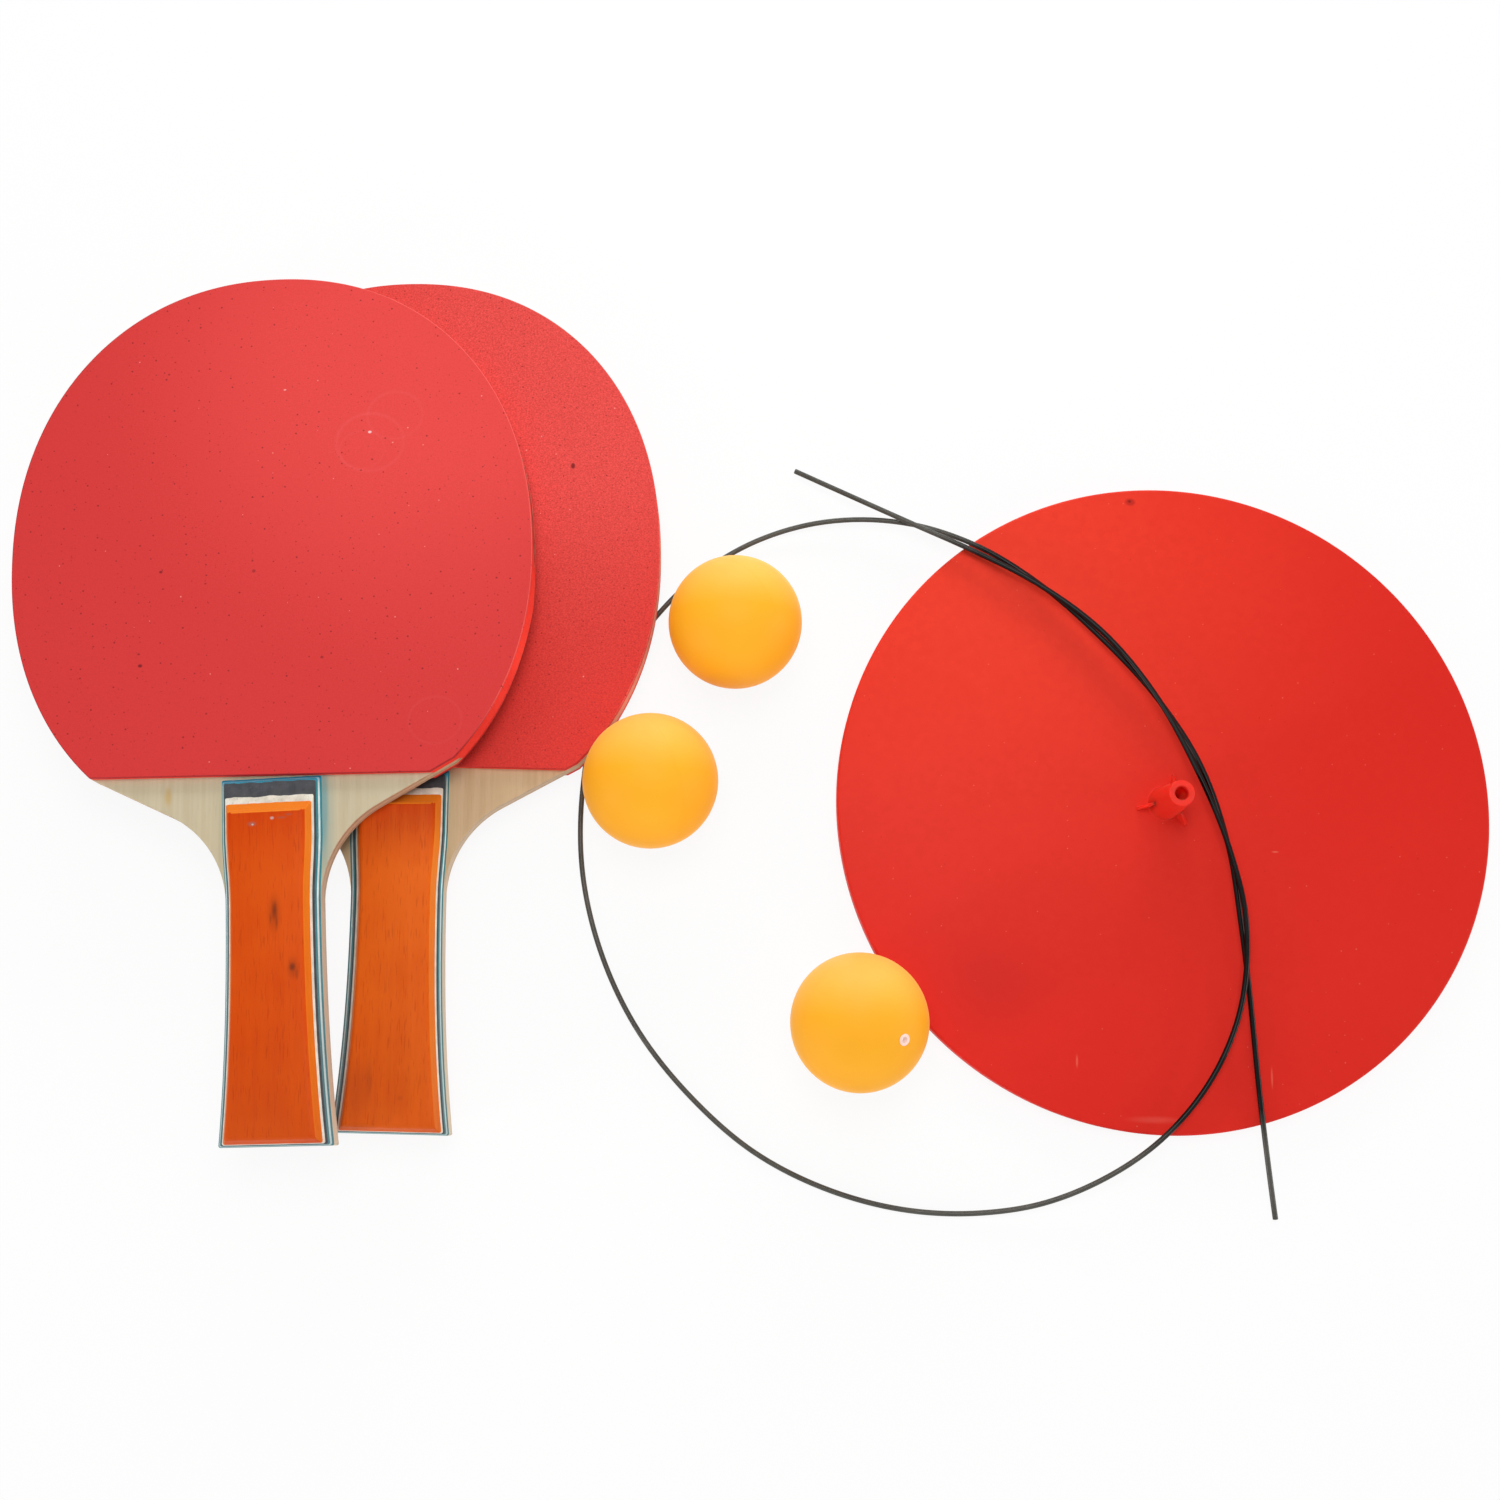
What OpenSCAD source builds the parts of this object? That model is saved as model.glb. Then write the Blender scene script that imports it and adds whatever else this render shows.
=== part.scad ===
// Table tennis trainer, laid out as a set on a floor: a weighted red base with a socket post,
// a long springy shaft, balls with a socket bush and a pair of laminated paddles.
// Millimetres, +Z up, origin on the floor near the base's middle.

/* [Base] */
// Diameter of the red base
base_d = 197.6; // [170:0.2:230]
// Place of the disc's middle, along X
base_x = 0.8; // [-2:0.1:2]
// Place of the disc's middle, along Y
base_y = 0.5; // [-2:0.1:2]
// Height of the base's flat top above the floor
base_h = 6; // [6:0.1:9]
// Thickness of the moulded top
cover_t = 2; // [1.5:0.1:2.4]
// Thickness of the skirt around the edge
skirt_t = 2; // [1.4:0.1:3]
// Radius of the rounded upper rim
rim_r = 0.9; // [0.4:0.1:1.2]
// Thickness of the soft pad underneath
pad_t = 1; // [0.6:0.1:1.4]
// Height of the skirt's lower edge above the floor
skirt_lift = 0.4; // [0.2:0.1:0.6]
// Play between the steel ballast and the skirt
ballast_play = 0.4; // [0.2:0.1:1]

/* [Socket post] */
// Height of the post above the base's top
post_h = 20; // [19:0.5:26]
// Diameter of the post at its mouth
post_top_d = 7.6; // [7:0.1:9]
// Diameter of the post at its foot
post_foot_d = 10.2; // [8:0.1:12]
// How far the post stands off the disc's middle, along X
post_x = 0.6; // [-1:0.1:2]
// How far the post stands off the disc's middle, along Y
post_y = -0.5; // [-2:0.1:2]
// Diameter of the socket in the post
socket_d = 4; // [3:0.1:5]
// Depth of the socket
socket_depth = 14; // [8:0.5:15]
// Width of the bevel at the socket's mouth
socket_bevel = 0.3; // [0.1:0.05:0.5]
// Depth of the narrow hole that grips the shaft's end
grip_hole_depth = 6; // [3:0.5:7]
// Number of gussets around the post
gusset_count = 3; // [3:1:6]
// Thickness of a gusset
gusset_t = 1; // [0.8:0.1:1.5]
// How far a gusset reaches past the post's foot
gusset_reach = 3.9; // [1.5:0.1:6]
// Height of a gusset
gusset_h = 8.5; // [5:0.5:14]
// Turn of the gussets about the post
gusset_turn = 72; // [0:1:120]

/* [Shaft] */
// Diameter of the springy shaft
shaft_d = 1.6; // [1:0.1:1.7]
// Play around the shaft in the holes that take its ends
shaft_play = 0.05; // [0.02:0.01:0.1]

/* [Balls] */
// Diameter of a ball
ball_d = 40; // [36:0.5:44]
// Wall of a ball
ball_wall = 0.45; // [0.35:0.05:0.8]
// Diameter of the bush's flange
flange_d = 3.4; // [3:0.1:5]
// Height of the bush's flange
flange_t = 0.35; // [0.2:0.05:0.8]
// Diameter of the bush's stem
stem_d = 2.6; // [2.4:0.1:2.9]
// Length of the bush's stem
stem_l = 8; // [6:0.5:12]
// Closed end of the bush below its bore
bush_floor = 1; // [0.6:0.1:2]

/* [Blade] */
// Width of a paddle's blade
blade_w = 155.4; // [140:0.2:170]
// Length of the oval that the blade follows
blade_l = 176.8; // [160:0.2:195]
// Fullness of the oval, where 2 is an ellipse
blade_full = 2.14; // [2:0.01:2.4]
// Thickness of the middle ply
core_t = 2.2; // [1.5:0.1:3.5]
// Thickness of a cross ply
cross_t = 0.7; // [0.5:0.1:1.2]
// Thickness of a face ply
face_t = 0.9; // [0.5:0.1:1.2]
// Height of the rubber's lower edge above the end of the oval
cut_rise = 18.9; // [14:0.1:24]
// Angle by which the rubber and a handle's foot are cut out of square
cut_skew = 2.2; // [0:0.1:4]
// Distance from the rubber's lower edge to the waist of the handle
shoulder_l = 37.5; // [30:0.5:44]
// Radius of the hollow between shoulder and handle
shoulder_r = 31; // [22:0.5:34]

/* [Rubber] */
// Thickness of a sponge layer
sponge_t = 1.2; // [0.8:0.1:2.2]
// Thickness of a rubber sheet
sheet_t = 1; // [0.6:0.1:1.8]
// How much shorter the upper paddle's rubber is at its lower edge
upper_trim = 0; // [0:0.1:3]
// How much shorter the lower paddle's rubber is at its lower edge
lower_trim = 2; // [0:0.1:3]

/* [Grip] */
// Width of a handle at its waist
waist_w = 27.2; // [24:0.1:30]
// Width of the upper paddle's handle at its foot
upper_foot_w = 32.2; // [30:0.1:35]
// Width of the lower paddle's handle at its foot
lower_foot_w = 34; // [30:0.1:35]
// Distance from the waist to the foot
flare_l = 68; // [55:0.5:80]
// How far a grip swells out on each side below its upper end
grip_swell = 0.9; // [0:0.1:1]
// Angle by which the upper paddle's handle leans out of the blade's middle line
upper_lean = 0.9; // [-1:0.1:1.2]
// Angle by which the lower paddle's handle leans out of the blade's middle line
lower_lean = 0; // [-1:0.1:1.2]
// How far the upper paddle's scales sit off the middle of its handle
upper_shift = 0; // [-0.6:0.1:0.8]
// How far the lower paddle's scales sit off the middle of its handle
lower_shift = 0.7; // [-0.6:0.1:0.8]
// Thickness of a teal veneer
teal_t = 0.7; // [0.4:0.1:1]
// Thickness of the pale veneer between the teal ones
pale_t = 0.6; // [0.3:0.1:1]
// Thickness of the charcoal veneer
charcoal_t = 0.8; // [0.6:0.1:1.4]
// Thickness of the cream veneer
cream_t = 0.8; // [0.6:0.1:1.4]
// Thickness of the orange scale
scale_t = 3.6; // [2.8:0.1:4.6]
// Rounding along the scale's upper edges
scale_round = 1.5; // [0.5:0.1:1.6]
// Slope of a grip's sides away from upright
side_slope = 32; // [15:1:36]
// Slope of a grip's foot end away from upright
foot_slope = 12; // [10:1:30]
// Angle by which a grip's upper end is cut out of square
end_skew = 0.3; // [0:0.1:2.2]
// Gap between the upper paddle's grips and its rubber
upper_end_gap = 0.1; // [0.1:0.1:2]
// Gap between the lower paddle's grips and its rubber
lower_end_gap = 0.8; // [0.1:0.1:2]
// Length of the teal edge at a grip's upper end
teal_end = 1.5; // [0.8:0.1:2]
// Length of the charcoal edge at a grip's upper end
charcoal_end = 4.4; // [3:0.1:7]
// Length of the cream edge at a grip's upper end
cream_end = 2.1; // [1:0.1:3]
// Length of the sloped orange edge at a grip's upper end
scale_end = 2.4; // [1:0.1:4]
// Rounding of a grip's corners in plan
corner_r = 0.6; // [0.4:0.1:1.5]

/* [Layout] */
// Free floor between the base and the lower paddle, beyond a ball's width
aisle_spare = 15.4; // [10:0.5:40]
// Place of the lower paddle along Y
lower_y = 73.2; // [60:0.1:85]
// Turn of the lower paddle
lower_turn = 1.8; // [0:0.1:3]
// Gap between the paddles' handles at the foot, measured across
handle_gap = 4.5; // [4.5:0.1:20]
// How far the upper paddle lies below the lower one along Y
upper_drop = 4; // [0:0.1:6]
// Turn of the upper paddle
upper_turn = 4.5; // [2:0.1:5]
// Gap between the first ball and the base's edge, across X
ball_1_gap = 11.7; // [6:0.1:12]
// Place of the first ball along Y
ball_1_y = 50.3; // [46:0.1:54]
// Where along the lower blade's edge the second ball stands, as an angle of its oval
ball_2_angle = -42.2; // [-42.6:0.1:-41.8]
// Gap between the second ball's side and that place, seen from above
ball_2_gap = 0.9; // [0.8:0.1:1.4]
// Distance from the base's edge to the third ball's middle
ball_3_gap = 15.94; // [15:0.02:30]
// Bearing of the third ball from the post
ball_3_bearing = 216.36; // [205:0.02:220]
// Clear height kept under what lies on the floor or on another piece
rest_gap = 0.1; // [0.05:0.05:0.3]
// Clear height kept between the paddles
stack_gap = 0.4; // [0.3:0.05:0.8]

/* [Hidden] */
$fn = 96;
e = 0.01;

// Base
base_r = base_d / 2;
cavity_r = base_r - skirt_t;
ballast_t = base_h - cover_t - pad_t;
ballast_r = cavity_r - ballast_play;
post_top = base_h + post_h;
socket_r = socket_d / 2;
socket_floor = post_top - socket_depth;
shaft_hole_r = shaft_d / 2 + shaft_play;
rim_steps = 6;

// Balls: place on the floor, then the bearing and elevation that the bush faces
ball_r = ball_d / 2;
bush_seat = sqrt(ball_r * ball_r - stem_d * stem_d / 4);
stem_play = 0.02;
ball_1 = [[base_x - base_r - ball_1_gap - ball_r, ball_1_y], [35, -32]];
ball_3_reach = base_r + ball_3_gap;
ball_3_x = base_x + ball_3_reach * cos(ball_3_bearing);
ball_3_y = base_y + ball_3_reach * sin(ball_3_bearing);
ball_3 = [[ball_3_x, ball_3_y], [-23.2, 51.6]];

// Blade and handle, with Y from the middle of the oval towards its tip
blade_t = core_t + 2 * cross_t + 2 * face_t;
cut_y = cut_rise - blade_l / 2;
join_y = cut_y + 2;
waist_y = cut_y - shoulder_l;
foot_y = waist_y - flare_l;
shoulder_slope = 28.5;
flare_power = 2.4;
swell_l = 0.55 * shoulder_l;
oval_steps = 40;
arc_steps = 10;
side_steps = 10;
corner_steps = 3;

// Layers of a grip, counted up from the blade's face
teal_1 = teal_t;
pale_1 = teal_1 + pale_t;
teal_2 = pale_1 + teal_t;
charcoal_1 = teal_2 + charcoal_t;
cream_1 = charcoal_1 + cream_t;
scale_edge = cream_1 + scale_t - scale_round;
grip_t = cream_1 + scale_t;

// Each grip level: height, inset at the sides, at the upper end and at the foot
side_run = tan(side_slope);
foot_run = tan(foot_slope);
cream_in = teal_end + charcoal_end + cream_end;
scale_lean = 0.9;
levels = [
    [0, 0, 0, 0],
    [teal_1, teal_1 * side_run, teal_end * teal_1 / teal_2, teal_1 * foot_run],
    [pale_1, pale_1 * side_run, teal_end * pale_1 / teal_2, pale_1 * foot_run],
    [teal_2, teal_2 * side_run, teal_end, teal_2 * foot_run],
    [charcoal_1, charcoal_1 * side_run, teal_end + charcoal_end, charcoal_1 * foot_run],
    [cream_1, cream_1 * side_run, cream_in, cream_1 * foot_run],
    [scale_edge, cream_1 * side_run + scale_lean, cream_in + scale_end, cream_1 * foot_run + scale_lean],
    [grip_t, cream_1 * side_run + scale_lean + scale_round, cream_in + scale_end + scale_round,
        cream_1 * foot_run + scale_lean + scale_round]
];

// Rest of the paddles: the lower one lies on its grip's upper end and its rubber's tip,
// the upper one on the lower one's shoulder and on the far end of its rubber
grip_half = blade_t / 2 + grip_t;
rubber_half = blade_t / 2 + sponge_t + sheet_t;
tip_y = blade_l / 2;
near_y = cut_y - cream_in - scale_end - scale_round;
end_rise = (waist_w / 2 + grip_swell) * abs(tan(cut_skew) - tan(end_skew));
lower_raise = lower_trim - lower_end_gap - end_rise;
upper_raise = upper_trim - upper_end_gap - end_rise;
far_y = 0.85 * tip_y;
near_rise = blade_t / 2 + grip_half + stack_gap;
far_rise = 2 * rubber_half + stack_gap;
lower_pitch = atan((grip_half - rubber_half) / (tip_y - near_y - lower_raise));
lower_z = rest_gap + tip_y * sin(lower_pitch) + rubber_half * cos(lower_pitch);
upper_pitch = lower_pitch + atan((near_rise - far_rise) / (far_y - near_y - upper_raise));
upper_z = lower_z + far_rise + far_y * (sin(upper_pitch) - sin(lower_pitch));
lower_x = base_x - base_r - ball_d - aisle_spare - blade_w / 2;
upper_x = lower_x - (lower_foot_w + upper_foot_w) / 2 - handle_gap;

// The second ball stands off the lower blade's edge
ball_2_place = oval(ball_2_angle) + outward(ball_2_angle) * (ball_r + ball_2_gap);
ball_2_x = lower_x + ball_2_place[0] * cos(lower_turn) - ball_2_place[1] * sin(lower_turn);
ball_2_y = lower_y + ball_2_place[0] * sin(lower_turn) + ball_2_place[1] * cos(lower_turn);
ball_2 = [[ball_2_x, ball_2_y], [20, -25]];

// A paddle: foot width, place, turn, pitch, the handle's lean, the scales' shift,
// the rubber's trim and the grips' raise
lower = [
    lower_foot_w, [lower_x, lower_y, lower_z], lower_turn, lower_pitch, lower_lean, lower_shift,
    lower_trim, lower_raise
];
upper = [
    upper_foot_w, [upper_x, lower_y - upper_drop, upper_z], upper_turn, upper_pitch, upper_lean, upper_shift,
    upper_trim, upper_raise
];

// Route of the shaft's middle line, from its first bare end to its second
route = [
    [-112, 104, 3.4], [-75.5, 86, 8], [-56.5, 77, 9.6], [-38, 67, 11], [-18.15, 51.85, 12],
    [-1.4, 30.5, 12.6], [8.2, 12, 12.8], [18.5, -14.5, 12.8], [22.75, -34.5, 12.4], [22.5, -51, 11.6],
    [20.5, -62, 11], [13.5, -79, 10], [-3, -99.5, 8.2], [-20.5, -111.5, 6], [-37.5, -118.5, 3.6],
    [-55, -121.5, 1.8], [-72.5, -121.5, 1], [-98.5, -116, 0.9], [-121, -105.5, 0.9], [-139.5, -90.5, 0.9],
    [-157.5, -69, 0.9], [-168.5, -47, 0.9], [-174.5, -24.5, 0.9], [-175.5, 1.5, 0.9], [-171, 28, 0.9],
    [-160, 49, 0.9], [-144, 68, 1], [-124.5, 81, 1.8], [-105.5, 87, 3.2], [-75.5, 86.5, 5.8],
    [-55.5, 79.5, 7.4], [-37.5, 68, 8.8], [-18.85, 51.15, 9.8], [-1, 31, 10.4], [10.3, 12.9, 10.6],
    [19, -14.5, 10.6], [21.8, -35, 10], [23.5, -51, 9.4], [26.5, -87.5, 7.8], [31, -121.5, 3.4]
];
route_end = len(route) - 1;
shaft_sides = 8;
ring_steps = 2;
gap_steps = 4;
gap_reach = 12;

// Middle line of the shaft: a smooth curve through the route's points
function heading(i) = (route[i + 1] - route[i]) / norm(route[i + 1] - route[i]);
function reach(i) = norm(route[i + 1] - route[i]);
function inner_slope(i) =
    (heading(i - 1) * reach(i) + heading(i) * reach(i - 1)) / (reach(i - 1) + reach(i));
function slope(i) =
    i == 0 ? 2 * heading(0) - inner_slope(1) :
    i == route_end ? 2 * heading(i - 1) - inner_slope(i - 1) :
    inner_slope(i);
function on_route(i, u) =
    (2 * u * u * u - 3 * u * u + 1) * route[i] + (u * u * u - 2 * u * u + u) * reach(i) * slope(i)
    + (3 * u * u - 2 * u * u * u) * route[i + 1] + (u * u * u - u * u) * reach(i) * slope(i + 1);
function middle_line(n) = [
    for (i = [0 : route_end - 1], k = [0 : n - 1]) on_route(i, k / n),
    route[route_end]
];
function travel(p, i) = i == 0 ? 0 : norm(p[i] - p[i - 1]) + travel(p, i - 1);

// Ring of points around the middle line at point i
function ring(p, i) =
    let (d = p[min(i + 1, len(p) - 1)] - p[max(i - 1, 0)],
        side = cross(d, [0, 0, 1]) / norm(cross(d, [0, 0, 1])),
        up = cross(side, d) / norm(d))
    [for (k = [0 : shaft_sides - 1]) let (a = 360 * k / shaft_sides)
        p[i] + shaft_d / 2 * (cos(a) * side + sin(a) * up)];

// Outline of the blade: half of it from tip to foot, then its mirror image
function oval(a) = [
    blade_w / 2 * pow(abs(cos(a)), 2 / blade_full),
    sign(sin(a)) * blade_l / 2 * pow(abs(sin(a)), 2 / blade_full)
];
function outward(a) =
    let (n = [pow(abs(cos(a)), 2 - 2 / blade_full) / blade_w,
        sign(sin(a)) * pow(abs(sin(a)), 2 - 2 / blade_full) / blade_l])
    n / norm(n);
join_angle = -asin(pow(abs(join_y) / (blade_l / 2), blade_full / 2));
function flare(y) = pow(max(waist_y - y, 0) / flare_l, flare_power);
function swell(y) = let (u = min(max((y - waist_y) / swell_l, 0), 1)) grip_swell * u * u * (3 - 2 * u);
function half_width(foot_w, y) = waist_w / 2 + (foot_w - waist_w) / 2 * flare(y) + swell(y);
function mirrored(p) = [for (i = [len(p) - 1 : -1 : 0]) [-p[i][0], p[i][1]]];
function blade_half(foot_w) = concat(
    [for (k = [1 : oval_steps]) oval(90 + (join_angle - 90) * k / oval_steps)],
    [for (k = [0 : arc_steps]) let (a = 90 + shoulder_slope + (90 - shoulder_slope) * k / arc_steps)
        [waist_w / 2 + shoulder_r * (1 + cos(a)), waist_y + shoulder_r * sin(a)]],
    [for (k = [1 : side_steps]) let (y = waist_y - (flare_l - corner_r) * k / side_steps)
        [half_width(foot_w, y), y]],
    [for (k = [1 : corner_steps]) let (a = -90 * k / corner_steps)
        [half_width(foot_w, foot_y + corner_r) + corner_r * (cos(a) - 1),
            foot_y + corner_r * (1 + sin(a))]]
);
function skewed_foot(p) = [
    for (q = p) q[1] > foot_y + corner_r + e ? q : [q[0], q[1] - q[0] * tan(cut_skew)]
];
function leaned(p, lean, from) = [
    for (q = p) q[1] > from ? q : [q[0] + (waist_y - q[1]) * tan(lean), q[1]]
];
function blade_outline(foot_w, lean) =
    leaned(skewed_foot(concat([[0, blade_l / 2]], blade_half(foot_w), mirrored(blade_half(foot_w)))),
        lean, waist_y);

// Outline of a grip at one level, with its ends cut out of square
function skewed(p) = [
    for (q = p) let (up = (q[1] - foot_y) / (cut_y - foot_y))
        [q[0], q[1] - q[0] * tan(cut_skew + (end_skew - cut_skew) * up)]
];
function grip_half_outline(foot_w, level, raise) =
    let (top = cut_y + raise - level[2], foot = foot_y + level[3], side = level[1],
        long = top - foot - 2 * corner_r,
        foot_x = half_width(foot_w, foot + corner_r) - side,
        top_x = half_width(foot_w, top - corner_r) - side)
    concat(
        [for (k = [0 : corner_steps]) let (a = -90 + 90 * k / corner_steps)
            [foot_x - corner_r + corner_r * cos(a), foot + corner_r + corner_r * sin(a)]],
        [for (k = [1 : side_steps - 1]) let (y = foot + corner_r + long * k / side_steps)
            [half_width(foot_w, y) - side, y]],
        [for (k = [0 : corner_steps]) let (a = 90 * k / corner_steps)
            [top_x - corner_r + corner_r * cos(a), top - corner_r + corner_r * sin(a)]]
    );
function shifted(p, run) = [for (q = p) [q[0] + run, q[1]]];
function grip_outline(foot_w, level, lean, shift, raise) =
    let (half = grip_half_outline(foot_w, level, raise), run = shift * min(level[0] / cream_1, 1))
    leaned(shifted(skewed(concat(half, mirrored(half))), run), lean, cut_y + blade_w);

// Closed solid whose points are rings of n points each, m + 1 of them, capped at both ends
module skin(points, n, m) {
    walls = [for (j = [0 : m - 1], k = [0 : n - 1], half = [0 : 1])
        let (next = (k + 1) % n, a = j * n, b = a + n)
        half == 0 ? [a + k, b + k, b + next] : [a + k, b + next, a + next]];
    first_cap = [for (k = [0 : n - 1]) k];
    last_cap = [for (k = [n - 1 : -1 : 0]) m * n + k];
    polyhedron(points, concat(walls, [first_cap], [last_cap]));
}

// Layer of a grip between two levels
module grip_layer(p, first, last) {
    outlines = [for (i = [first : last]) grip_outline(p[0], levels[i], p[4], p[5], p[7])];
    points = [for (j = [0 : last - first], q = outlines[j]) [q[0], q[1], levels[first + j][0]]];
    translate([0, 0, blade_t / 2]) skin(points, len(outlines[0]), last - first);
}

module both_faces() {
    children();
    mirror([0, 0, 1]) children();
}

module placed(p) {
    translate(p[1]) rotate([0, 0, p[2]]) rotate([-p[3], 0, 0]) children();
}

module ply(p, bottom, thick) {
    translate([0, 0, bottom]) linear_extrude(thick) polygon(blade_outline(p[0], p[4]));
}

module rubber_layer(p, bottom, thick) {
    difference() {
        ply(p, bottom, thick);
        translate([0, cut_y + p[6], bottom - e]) rotate([0, 0, -cut_skew])
            translate([-blade_w, -2 * blade_l, 0]) cube([2 * blade_w, 2 * blade_l, thick + 2 * e]);
    }
}

module base_cover() {
    rim = [for (k = [0 : rim_steps]) let (a = 90 * k / rim_steps)
        [base_r - rim_r + rim_r * cos(a), base_h - rim_r + rim_r * sin(a)]];
    color("crimson") translate([base_x, base_y, 0]) difference() {
        union() {
            rotate_extrude($fn = 180)
                polygon(concat([[cavity_r, skirt_lift], [base_r, skirt_lift]], rim,
                    [[0, base_h], [0, base_h - cover_t], [cavity_r, base_h - cover_t]]));
            translate([post_x, post_y, base_h - cover_t / 2])
                cylinder(d1 = post_foot_d, d2 = post_top_d, h = post_h + cover_t / 2);
            translate([post_x, post_y, 0])
                for (k = [0 : gusset_count - 1]) gusset(gusset_turn + 360 * k / gusset_count);
        }
        translate([post_x, post_y, socket_floor]) cylinder(r = socket_r, h = socket_depth + e);
        translate([post_x, post_y, post_top - socket_bevel])
            cylinder(r1 = socket_r, r2 = socket_r + socket_bevel + e, h = socket_bevel + e);
        translate([post_x, post_y, socket_floor - grip_hole_depth])
            cylinder(r = shaft_hole_r, h = grip_hole_depth + e);
    }
}

module gusset(turn) {
    inner = post_top_d / 2 - gusset_t;
    outer = post_foot_d / 2 + gusset_reach;
    root = cover_t / 2;
    rotate([0, 0, turn]) translate([0, gusset_t / 2, base_h - root]) rotate([90, 0, 0])
        linear_extrude(gusset_t)
            polygon([[inner, 0], [outer, 0], [outer, root + gusset_t], [inner, root + gusset_h]]);
}

module ballast_plate() {
    color("silver") translate([base_x, base_y, pad_t]) cylinder(r = ballast_r, h = ballast_t, $fn = 180);
}

module foot_pad() {
    color("dimgray") translate([base_x, base_y, 0]) cylinder(r = ballast_r, h = pad_t, $fn = 180);
}

module flex_shaft() {
    line = middle_line(ring_steps);
    fine = middle_line(gap_steps);
    last = len(fine) - 1;
    gaps = [for (i = [0 : last], j = [i + gap_reach : 1 : last]) norm(fine[i] - fine[j]) - shaft_d];
    echo(shaft_length = travel(fine, last), least_gap_to_itself = min(gaps));
    color("black") skin([for (i = [0 : len(line) - 1], q = ring(line, i)) q], shaft_sides, len(line) - 1);
}

module aimed(b) {
    translate([b[0][0], b[0][1], ball_r]) rotate([0, 90 - b[1][1], b[1][0]]) children();
}

module half_shell() {
    difference() {
        sphere(r = ball_r);
        sphere(r = ball_r - ball_wall);
        translate([-ball_d, -ball_d, -2 * ball_d]) cube(2 * ball_d);
    }
}

module ball_socket_half(b) {
    color("orange") aimed(b) difference() {
        half_shell();
        cylinder(d = stem_d + 2 * stem_play, h = ball_d);
    }
}

module ball_closed_half(b) {
    color("orange") aimed(b) mirror([0, 0, 1]) half_shell();
}

module ball_bush(b) {
    bottom = bush_seat - stem_l;
    color("white") aimed(b) rotate_extrude($fn = 48)
        polygon([[0, bottom], [stem_d / 2, bottom], [stem_d / 2, bush_seat], [flange_d / 2, bush_seat],
            [flange_d / 2, bush_seat + flange_t], [shaft_hole_r, bush_seat + flange_t],
            [shaft_hole_r, bottom + bush_floor], [0, bottom + bush_floor]]);
}

module blade_core(p) {
    color("wheat") placed(p) ply(p, -core_t / 2, core_t);
}

module cross_plies(p) {
    color("tan") placed(p) both_faces() ply(p, core_t / 2, cross_t);
}

module face_plies(p) {
    color("burlywood") placed(p) both_faces() ply(p, core_t / 2 + cross_t, face_t);
}

module front_sponge(p) {
    color("tomato") placed(p) rubber_layer(p, blade_t / 2, sponge_t);
}

module front_rubber(p) {
    color("indianred") placed(p) rubber_layer(p, blade_t / 2 + sponge_t, sheet_t);
}

module back_sponge(p) {
    color("tomato") placed(p) rubber_layer(p, -blade_t / 2 - sponge_t, sponge_t);
}

module back_rubber(p) {
    color("indianred") placed(p) rubber_layer(p, -rubber_half, sheet_t);
}

module teal_veneers(p) {
    color("teal") placed(p) both_faces() {
        grip_layer(p, 0, 1);
        grip_layer(p, 2, 3);
    }
}

module pale_veneers(p) {
    color("lightcyan") placed(p) both_faces() grip_layer(p, 1, 2);
}

module charcoal_veneers(p) {
    color("darkslategray") placed(p) both_faces() grip_layer(p, 3, 4);
}

module cream_veneers(p) {
    color("cornsilk") placed(p) both_faces() grip_layer(p, 4, 5);
}

module front_scale(p) {
    color("chocolate") placed(p) grip_layer(p, 5, 7);
}

module back_scale(p) {
    color("chocolate") placed(p) mirror([0, 0, 1]) grip_layer(p, 5, 7);
}

base_cover();
ballast_plate();
foot_pad();
flex_shaft();
ball_socket_half(ball_1);  // ball_1_socket_half
ball_closed_half(ball_1);  // ball_1_closed_half
ball_bush(ball_1);  // ball_1_bush
ball_socket_half(ball_2);  // ball_2_socket_half
ball_closed_half(ball_2);  // ball_2_closed_half
ball_bush(ball_2);  // ball_2_bush
ball_socket_half(ball_3);  // ball_3_socket_half
ball_closed_half(ball_3);  // ball_3_closed_half
ball_bush(ball_3);  // ball_3_bush
blade_core(lower);  // lower_blade_core
cross_plies(lower);  // lower_cross_plies
face_plies(lower);  // lower_face_plies
front_sponge(lower);  // lower_front_sponge
front_rubber(lower);  // lower_front_rubber
back_sponge(lower);  // lower_back_sponge
back_rubber(lower);  // lower_back_rubber
teal_veneers(lower);  // lower_teal_veneers
pale_veneers(lower);  // lower_pale_veneers
charcoal_veneers(lower);  // lower_charcoal_veneers
cream_veneers(lower);  // lower_cream_veneers
front_scale(lower);  // lower_front_scale
back_scale(lower);  // lower_back_scale
blade_core(upper);  // upper_blade_core
cross_plies(upper);  // upper_cross_plies
face_plies(upper);  // upper_face_plies
front_sponge(upper);  // upper_front_sponge
front_rubber(upper);  // upper_front_rubber
back_sponge(upper);  // upper_back_sponge
back_rubber(upper);  // upper_back_rubber
teal_veneers(upper);  // upper_teal_veneers
pale_veneers(upper);  // upper_pale_veneers
charcoal_veneers(upper);  // upper_charcoal_veneers
cream_veneers(upper);  // upper_cream_veneers
front_scale(upper);  // upper_front_scale
back_scale(upper);  // upper_back_scale
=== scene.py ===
import math
import bmesh
import bpy
from mathutils import Matrix, Vector, noise


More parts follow.
